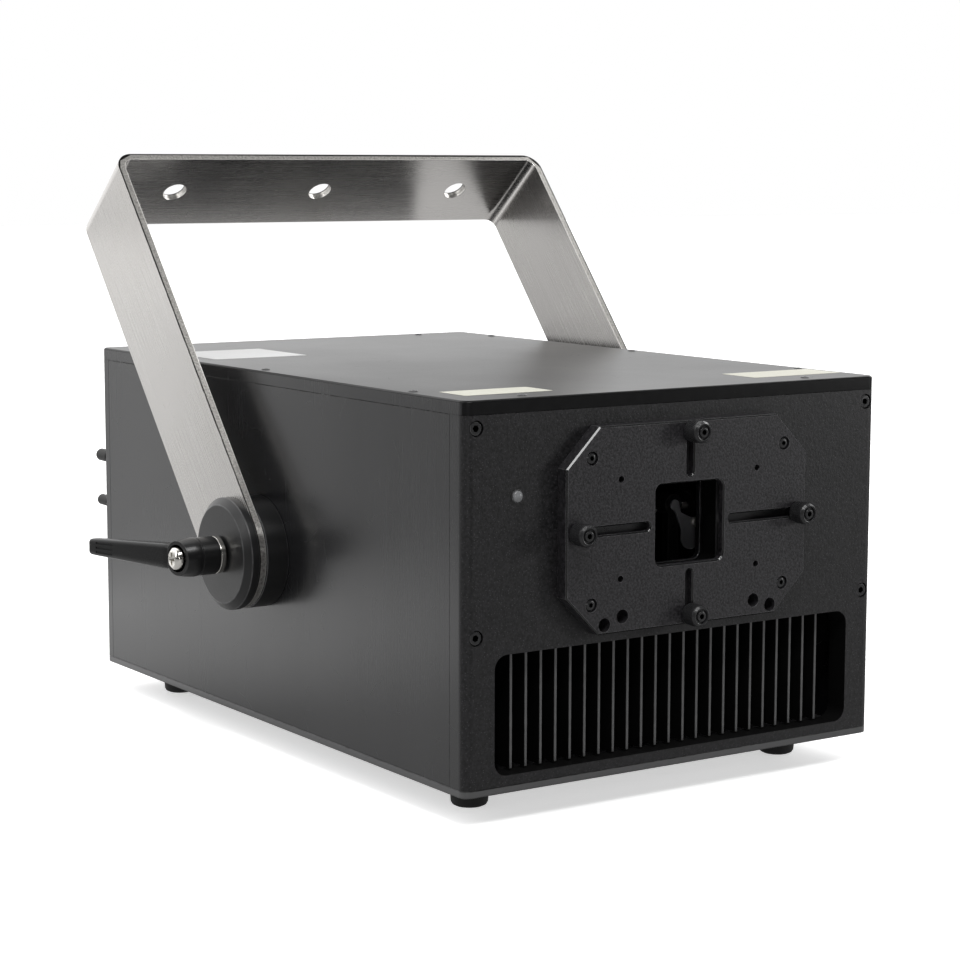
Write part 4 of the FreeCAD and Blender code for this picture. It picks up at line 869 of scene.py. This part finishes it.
def make_lever(side):
    """Hub with its seam and screw recess, the arm, and the cross screw."""
    hub_end = high_corner("right_lever_screw").x + HUB_OVER_SCREW
    hub_start = hub_end - HUB_LENGTH
    outward = OUTWARD[side]
    bm = turned_mesh(HUB_PROFILE, axis_point + outward * hub_start, outward, 64, closed=True)
    cut_nose(bm, outward, hub_end)
    bmesh.ops.recalc_face_normals(bm, faces=bm.faces)
    round_edges(bm, HUB_EDGE)
    bm.from_mesh(make_arm(outward, hub_start))
    stand_in(f"{side}_clamp_lever", bm, "lever_black", f"dressed_{side}_lever")
    screw = f"{side}_lever_screw"
    spot = facing(outward, axis_point + outward * (hub_end - SCREW_SINK))
    stand_in(screw, stamp(cross_screw(7.3, 4.6, 4.0, 2.4, 12), [spot]), "bright_nickel", "dressed_" + screw)


def make_insert(side):
    """Nickel collar with its groove on a threaded stud, painted dark as painted shade between the collar and the
    disc.
    """
    def is_stud(face):
        place = face.calc_center_median() - axis_point
        return hypot(place.y, place.z) < STUD_RADIUS

    node = f"{side}_lever_insert"
    stand_in(node, softened(node, 0.4, is_stud), "bright_nickel oiled_stud_steel")


# Thumb screws

KNOB_ROWS = 7
KNOB_STEPS = 40
KNURL_HEIGHT = 0.32 * MM
SHANK_RADIUS = 2.6 * MM


def knob_mesh(radius, length, shank_length):
    """Knurled knob about +Z with its back at 0, a hollow face and a socket, on a plain shank."""
    knurl_low, knurl_high = 1.2 * MM, length - 1.6 * MM
    heights = [knurl_low + (knurl_high - knurl_low) * row / (KNOB_ROWS - 1) for row in range(KNOB_ROWS)]
    profile = [(SHANK_RADIUS, -shank_length), (SHANK_RADIUS, 0), (radius - 1.0 * MM, 0),
               (radius - 0.3 * MM, 0.8 * MM)]
    profile += [(radius, height) for height in heights]
    profile += [(radius - 0.3 * MM, length - 1.3 * MM), (radius - 1.3 * MM, length)]
    profile += [(radius * share, length - drop * MM) for share, drop in (
        (0.72, 0), (0.68, 0.3), (0.66, 1.4), (0.5, 1.4), (0.48, 0.4), (0.44, 0.1), (0.36, 0.1))]
    bm = recessed_mesh(profile, hexagon(radius * 0.27), 3 * MM, 0.92, KNOB_STEPS)
    knurl(bm, radius, heights)
    return bm


def knurl(bm, radius, heights):
    """Turns the plain band between the heights into a field of raised diamonds."""
    def row_of(vert):
        if abs(vert.co.xy.length - radius) > radius * 0.01:
            return None
        return next((n for n, z in enumerate(heights) if abs(vert.co.z - z) < MERGE), None)

    rows = {vert: row_of(vert) for vert in bm.verts}
    odd = [vert for vert, row in rows.items() if row is not None and row % 2]
    bmesh.ops.rotate(bm, cent=(0, 0, 0), matrix=Matrix.Rotation(pi / KNOB_STEPS, 3, "Z"), verts=odd)
    band = [f for f in bm.faces if all(rows[v] is not None for v in f.verts)]
    cut = set(bmesh.ops.triangulate(bm, faces=band, quad_method="SHORT_EDGE")["faces"])
    level = [e for e in bm.edges if len(e.link_faces) == 2 and all(f in cut for f in e.link_faces)
             and rows[e.verts[0]] == rows[e.verts[1]]]
    bmesh.ops.dissolve_edges(bm, edges=level, use_verts=False)
    diamonds = [f for f in bm.faces if len(f.verts) == 4 and all(rows.get(v) is not None for v in f.verts)]
    bmesh.ops.poke(bm, faces=diamonds, offset=KNURL_HEIGHT, center_mode="MEAN")


def make_knobs():
    for side in ("top", "bottom", "left", "right"):
        node = f"thumb_screw_{side}"
        low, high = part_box(node)
        centre = middle(node)
        knob = knob_mesh((high.x - low.x) / 2, plate_y - low.y, high.y - plate_y)
        spot = facing(FORWARD, Vector((centre.x, plate_y, centre.z)))
        stand_in(node, stamp(knob, [spot]), "black_oxide", "knurled_" + node)


# Small things on the outside

PANEL_RIM = 12 * MM  # the openings of the front panel lie inside it


def make_front_panel():
    """The front panel: powder coat in front, bare anodised ends, and the walls of its openings painted black as
    painted shade in the openings.
    """
    def pick(face):
        across = abs(face.calc_center_median().x)
        if abs(face.normal.y) < 0.5 and across < half_width - PANEL_RIM:
            # walls of the openings: painted shade
            return 1
        return 2 if abs(face.normal.x) > 0.95 and across > half_width - MM else 0

    stand_in("front_panel", softened("front_panel", 0.55, pick), "panel_powder matt_black side_anodised")


def make_cover():
    """The top cover, its sides brushed like the side panels under them."""
    bm = softened("top_cover", 0.3, lambda face: abs(face.normal.x) > 0.9)
    band = bm.faces.layers.float[EDGE_BAND]
    # downward rounded edges take the side finish, whose black edges are painted shade in the seam
    pick_finishes(bm, lambda face: face.normal.z < -0.1 if face[band] else face.material_index)
    stand_in("top_cover", bm, "cover_anodised side_anodised")


def make_heat_sink():
    """The heat sink, black between its fins, with the front faces of its fins painted paler as a painted highlight.
    """
    tips = low_corner("heat_sink").y + 0.5 * MM
    bm = softened("heat_sink", 0.3, lambda face: face.normal.y < -0.9 and face.calc_center_median().y < tips)
    stand_in("heat_sink", bm, "matt_black fin_tip")


FOOT_RADIUS = 11.5 * MM  # of the feet in the frame
FOOT_HOLLOW = 3.1 * MM


def make_feet():
    """Tapered rubber feet, each hollow underneath round the head of its screw."""
    low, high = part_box("rubber_feet")
    foot = turned_mesh([(0, 3), (4.6, 3), (5, 0), (8.6, 0), (10.3, 0.8), (11.2, 2.4), (12.3, 17), (12.3, 18),
                        (0, 18)], edge=0.25)
    spots = [Vector((x, y, 0)) for x, y in pairs((low.x + FOOT_RADIUS, high.x - FOOT_RADIUS),
                                                 (low.y + FOOT_RADIUS, high.y - FOOT_RADIUS))]
    feet = stamp(foot, [Matrix.Translation(spot) for spot in spots])
    stand_in("rubber_feet", feet, "rubber_black", "dressed_rubber_feet")
    stamp_housing("foot_screws", cross_screw(3.8, 1.7, 2), -UP, [spot + UP * FOOT_HOLLOW for spot in spots])


def make_plate():
    """The aperture plate, with its chamfers cut smooth through the coat."""
    bm = softened("aperture_plate", 0.28, lambda face: 0.2 < -face.normal.y < 0.95)
    stand_in("aperture_plate", bm, "plate_powder cut_black")


def make_lamp():
    """Clear lamp: a thin rim, a domed lens and the pale chip inside it."""
    lamp = middle("indicator_lens")
    spot = Vector((lamp.x, front_y, lamp.z))
    rim = [(3.5, -0.4), (4, -0.4), (4, 0.1), (3.5, 0.1)]
    finish_piece("lamp_rim", turned_mesh(rim, spot, FORWARD, 40, 0.1, closed=True), *DARK)
    dome = [(0, -4), (3.45, -4), (3.45, 0.3), (3.2, 0.95), (2.5, 1.5), (1.4, 1.87), (0, 2)]
    stand_in("indicator_lens", turned_mesh(dome, spot, FORWARD, 40), "lamp_glass", "lamp_dome")
    chip = [(0, -3), (1.7, -3), (1.7, -1.2), (0.9, -0.5), (0, -0.5)]
    finish_piece("lamp_chip", turned_mesh(chip, spot, FORWARD, 24), "milled_aluminium", "lamp_lens")


# blank foils on the cover: name, finish, left, right, front and back in millimetres from its middle
FOILS = (
    ("left_foil", "cream_foil", -137.5, -75.7, -212, -183.5),
    ("right_foil", "cream_foil", 79.5, 150.5, -210, -177),
    ("rear_foil", "white_foil", -137, -66, 95, 165),
)
FOIL_THICKNESS = 0.12 * MM
FOIL_CORNER = 1.5 * MM


def make_foil(name, finish, left, right, front, back):
    """Thin sheet with round corners that lies on the cover."""
    bm = bmesh.new()
    bmesh.ops.create_cube(bm, size=1.0)
    bmesh.ops.scale(bm, vec=((right - left) * MM, (back - front) * MM, FOIL_THICKNESS), verts=bm.verts)
    centre = ((left + right) / 2 * MM, body_middle_y + (front + back) / 2 * MM, cover_z + FOIL_THICKNESS / 2)
    bmesh.ops.translate(bm, vec=centre, verts=bm.verts)
    upright = [e for e in bm.edges if abs(e.verts[0].co.z - e.verts[1].co.z) > FOIL_THICKNESS / 2]
    bmesh.ops.bevel(bm, geom=upright, offset=FOIL_CORNER, segments=4, profile=0.5, affect="EDGES", material=-1)
    finish_piece(name, bm, finish, "charcoal_powder")


def make_socket_fittings():
    """Flange screws and contact pins of the round sockets, and bright lips on the data sockets."""
    low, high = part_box("data_sockets")
    half = (high.z - low.z) * 13 / 31  # half the width of one flange, from its height
    data = [Vector((x, rear_y, middle("data_sockets").z)) for x in (low.x + half, high.x - half)]
    sockets = data + [Vector((middle(node).x, rear_y, middle(node).z)) for node in ("power_inlet", "power_outlet")]
    stamp_housing("flange_screws", cross_screw(2.4, 1.2, 1.3), BACKWARD,
                  [centre + Vector((side * 9.6, 2.5, side * 12.2)) * MM for centre, side in pairs(sockets, (-1, 1))])
    pin = turned_mesh([(0, 0), (0.8, 0), (0.8, 8), (0.4, 9), (0, 9)], steps=12)
    turns = (pi / 2, pi * 7 / 6, pi * 11 / 6)
    stamp_housing("socket_pins", pin, BACKWARD,
                  [centre + Vector((6.9 * cos(turn), -8, 6.9 * sin(turn))) * MM
                   for centre, turn in pairs(sockets, turns)])
    lip = turned_mesh([(9.5, 7.4), (12, 7.4), (12, 8.4), (9.5, 8.4)], edge=0.2, closed=True)
    stamp_housing("socket_lips", lip, BACKWARD, data)


PIN_PITCH = 2.77 * MM
PIN_ROWS = ((13, 1.4), (12, -1.4))  # pins in a row, and its height over the middle in millimetres
SHELL_DEPTH = 4 * MM


def make_control_socket():
    """Nickel shell round a black insert with two rows of pins, and a jack screw at each end."""
    centre = middle("control_socket")
    end_y = high_corner("control_socket").y
    bm = softened("control_socket", 0.3)
    face = max((f for f in bm.faces if f.normal.y > 0.9 and f.calc_center_median().y > end_y - 0.1 * MM),
               key=lambda f: f.calc_area())
    bmesh.ops.inset_region(bm, faces=[face], thickness=0.6 * MM, use_even_offset=True)
    bmesh.ops.inset_region(bm, faces=[face], thickness=0.05 * MM, depth=-SHELL_DEPTH, use_even_offset=True)
    face.material_index = 1
    stand_in("control_socket", bm, "bright_nickel moulded_black", "dressed_control_socket")
    pin = turned_mesh([(0, 0), (0.5, 0), (0.5, 3), (0.2, 3.5), (0, 3.5)], steps=8)
    stamp_housing("control_pins", pin, BACKWARD,
                  [(centre.x + (n - (count - 1) / 2) * PIN_PITCH, end_y - SHELL_DEPTH, centre.z + rise * MM)
                   for count, rise in PIN_ROWS for n in range(count)])
    jack = turned_mesh([(0, 0), (2.7, 0), (2.7, 4.6), (1.4, 4.6), (1.4, 1.6), (0, 1.6)], steps=6, edge=0.15)
    stamp_housing("jack_screws", jack, BACKWARD,
                  [(centre.x + x * MM, rear_y + 2.5 * MM, centre.z) for x in both(23.4)])


def make_shutter_screw():
    low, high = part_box("shutter_arm")
    spot = facing(FORWARD, (high.x - 4.4 * MM, low.y, beam.z - 7 * MM))
    finish_piece("shutter_screw", stamp(cross_screw(3.2, 1.7, 1.6), [spot]), "ground_steel", "nickel", "shutter")


def make_scan_mirrors():
    """Scan mirrors with a coated face each, on ground shafts."""
    for node in ("galvo_mirror_x", "galvo_mirror_y"):
        bm = node_copy(node)
        widest = max(face.calc_area() for face in bm.faces)
        pick_finishes(bm, lambda face: face.calc_area() < widest / 2)
        round_edges(bm, 0.1 * MM)
        stand_in(node, bm, "mirror_coat ground_steel")


# Stage, light and camera

FLOOR_SIZE = 12.0
# pools of light that the object reflects: centre, strength there, and where they start to fade and end
FLOOR_POOLS = (((0, 0, 0), 0.22, 0.3, 1.0), ((-0.39, 0.4, 0), 0.65, 0.12, 0.36), ((0.2, 0.5, 0), 0.35, 0.12, 0.5))
# name, place, target, width, height, power
LIGHTS = (
    ("key", (1.3, -1.1, 0.4), (0.05, -0.2, 0.15), 0.35, 0.35, 4.5),
    ("left_strip", (-1.7, -0.1, 1.2), (-0.15, 0.0, 0.15), 0.5, 1.6, 9),
    ("right_strip", (1.6, 0.35, 1.1), (0.15, 0.0, 0.15), 0.6, 1.4, 12),
    ("left_rear_card", (-0.33, 0.46, 0.16), (-0.18, 0.1, 0.15), 0.17, 0.32, 0.085),
    ("glint", (-0.59, -1.02, 1.43), (0.0, -0.25, 0.17), 0.4, 0.4, 8),
    ("fill", (-0.78, -1.45, 0.42), (0.0, -0.25, 0.17), 0.3, 0.3, 1.5),
    ("crown", (0.08, -0.78, 1.4), (-0.1, -0.1, 0.15), 0.4, 0.4, 7),
)
CAMERA_PLACE = (-0.9033, -1.37565, 0.3795)
CAMERA_TURNS = 0.589, 0.1293, 0.0019  # yaw, pitch and roll in radians
CAMERA_LENS, CAMERA_SENSOR = 91.64, 36.0  # millimetres


def camera_ray(tree):
    return add_node(tree, "LightPath").outputs["Is Camera Ray"]


def make_stage():
    """Pale floor that glows to white for the camera. The object reflects it darker, with pools of light."""
    def distance(centre):
        return add_node(made.tree, "VectorMath", {"operation": "DISTANCE"}, (made.place, centre)).outputs["Value"]

    made = Finish("pale_floor")
    clouds = made.effect(signs_of_use)["Clouds"]
    seen = camera_ray(made.tree)
    depth = add_node(made.tree, "SeparateXYZ", Vector=made.place).outputs["Y"]
    glow = calculate(made.tree, "MULTIPLY", made.range(distance((0, 0, 0)), 0.55, 0.75, 0.3, 1.2), seen)
    pools = [made.range(distance(centre), strength, 0, start, end) for centre, strength, start, end in FLOOR_POOLS]
    lift = calculate(made.tree, "MULTIPLY", add(made.tree, *pools), calculate(made.tree, "SUBTRACT", 1.0, seen))
    reflected = made.between(depth, 0.25, 0.5, 0.2, 1.7)
    made.connect(Base_Color=made.colour(seen, reflected, made.between(clouds, 0.86, 0.88)),
                 Roughness=made.range(clouds, 0.7, 0.75), Emission_Color=1.0,
                 Emission_Strength=add(made.tree, glow, lift))
    bm = bmesh.new()
    bmesh.ops.create_grid(bm, x_segments=2, y_segments=2, size=FLOOR_SIZE)
    mesh = kept_mesh(bm, "floor")
    mesh.materials.append(made.material)
    link_object("floor", mesh)


def make_world():
    """White backdrop for the camera. For the light it is bright behind the object and dim in front."""
    world = bpy.data.worlds.new("studio")
    bpy.context.scene.world = world
    world.use_nodes = True
    tree = world.node_tree
    tree.nodes.clear()
    way = add_node(tree, "SeparateXYZ", Vector=add_node(tree, "TexCoord").outputs["Generated"]).outputs
    behind = spread(tree, way["Y"], 0.05, 1.35, 0.0, 0.9)
    above = calculate(tree, "MULTIPLY", spread(tree, way["Z"], 0.0, 1.2, 0.25, 0.8),
                      spread(tree, way["Y"], 0.0, 1.0, -0.15, 0.25))
    light, seen = (add_node(tree, "Background", Color=1.0, Strength=strength).outputs[0]
                   for strength in (add(tree, behind, above), 1.0))
    shown = add_node(tree, "MixShader", None, (camera_ray(tree), light, seen)).outputs[0]
    add_node(tree, "OutputWorld", Surface=shown)


def make_light(name, place, target, width, tall, power):
    lamp = bpy.data.lights.new(name, "AREA")
    lamp.shape = "RECTANGLE"
    lamp.size = width
    lamp.size_y = tall
    lamp.energy = power
    holder = link_object(name, lamp)
    holder.location = place
    holder.rotation_mode = "QUATERNION"
    holder.rotation_quaternion = (Vector(target) - Vector(place)).to_track_quat("-Z", "Y")


def make_camera():
    """The photograph's view, found from the edges of the housing."""
    yaw, pitch, roll = CAMERA_TURNS
    ahead = Vector((sin(yaw) * cos(pitch), cos(yaw) * cos(pitch), -sin(pitch)))
    level = Vector((cos(yaw), -sin(yaw), 0))
    rise = level.cross(ahead)
    right = cos(roll) * level + sin(roll) * rise
    upward = cos(roll) * rise - sin(roll) * level
    data = bpy.data.cameras.new("view")
    data.sensor_width = CAMERA_SENSOR
    data.lens = CAMERA_LENS
    camera = link_object("view", data)
    turn = Matrix((right, upward, -ahead)).transposed().to_4x4()
    camera.matrix_world = Matrix.Translation(CAMERA_PLACE) @ turn
    bpy.context.scene.camera = camera


dress_nodes()
make_fasteners()
make_strap()
for side in OUTWARD:
    make_lever(side)
    make_insert(side)
make_front_panel()
make_cover()
make_heat_sink()
make_feet()
make_plate()
make_knobs()
make_lamp()
for row in FOILS:
    make_foil(*row)
make_socket_fittings()
make_control_socket()
make_shutter_screw()
make_scan_mirrors()
make_stage()
make_world()
for row in LIGHTS:
    make_light(*row)
make_camera()
bpy.context.scene.view_settings.view_transform = "Standard"
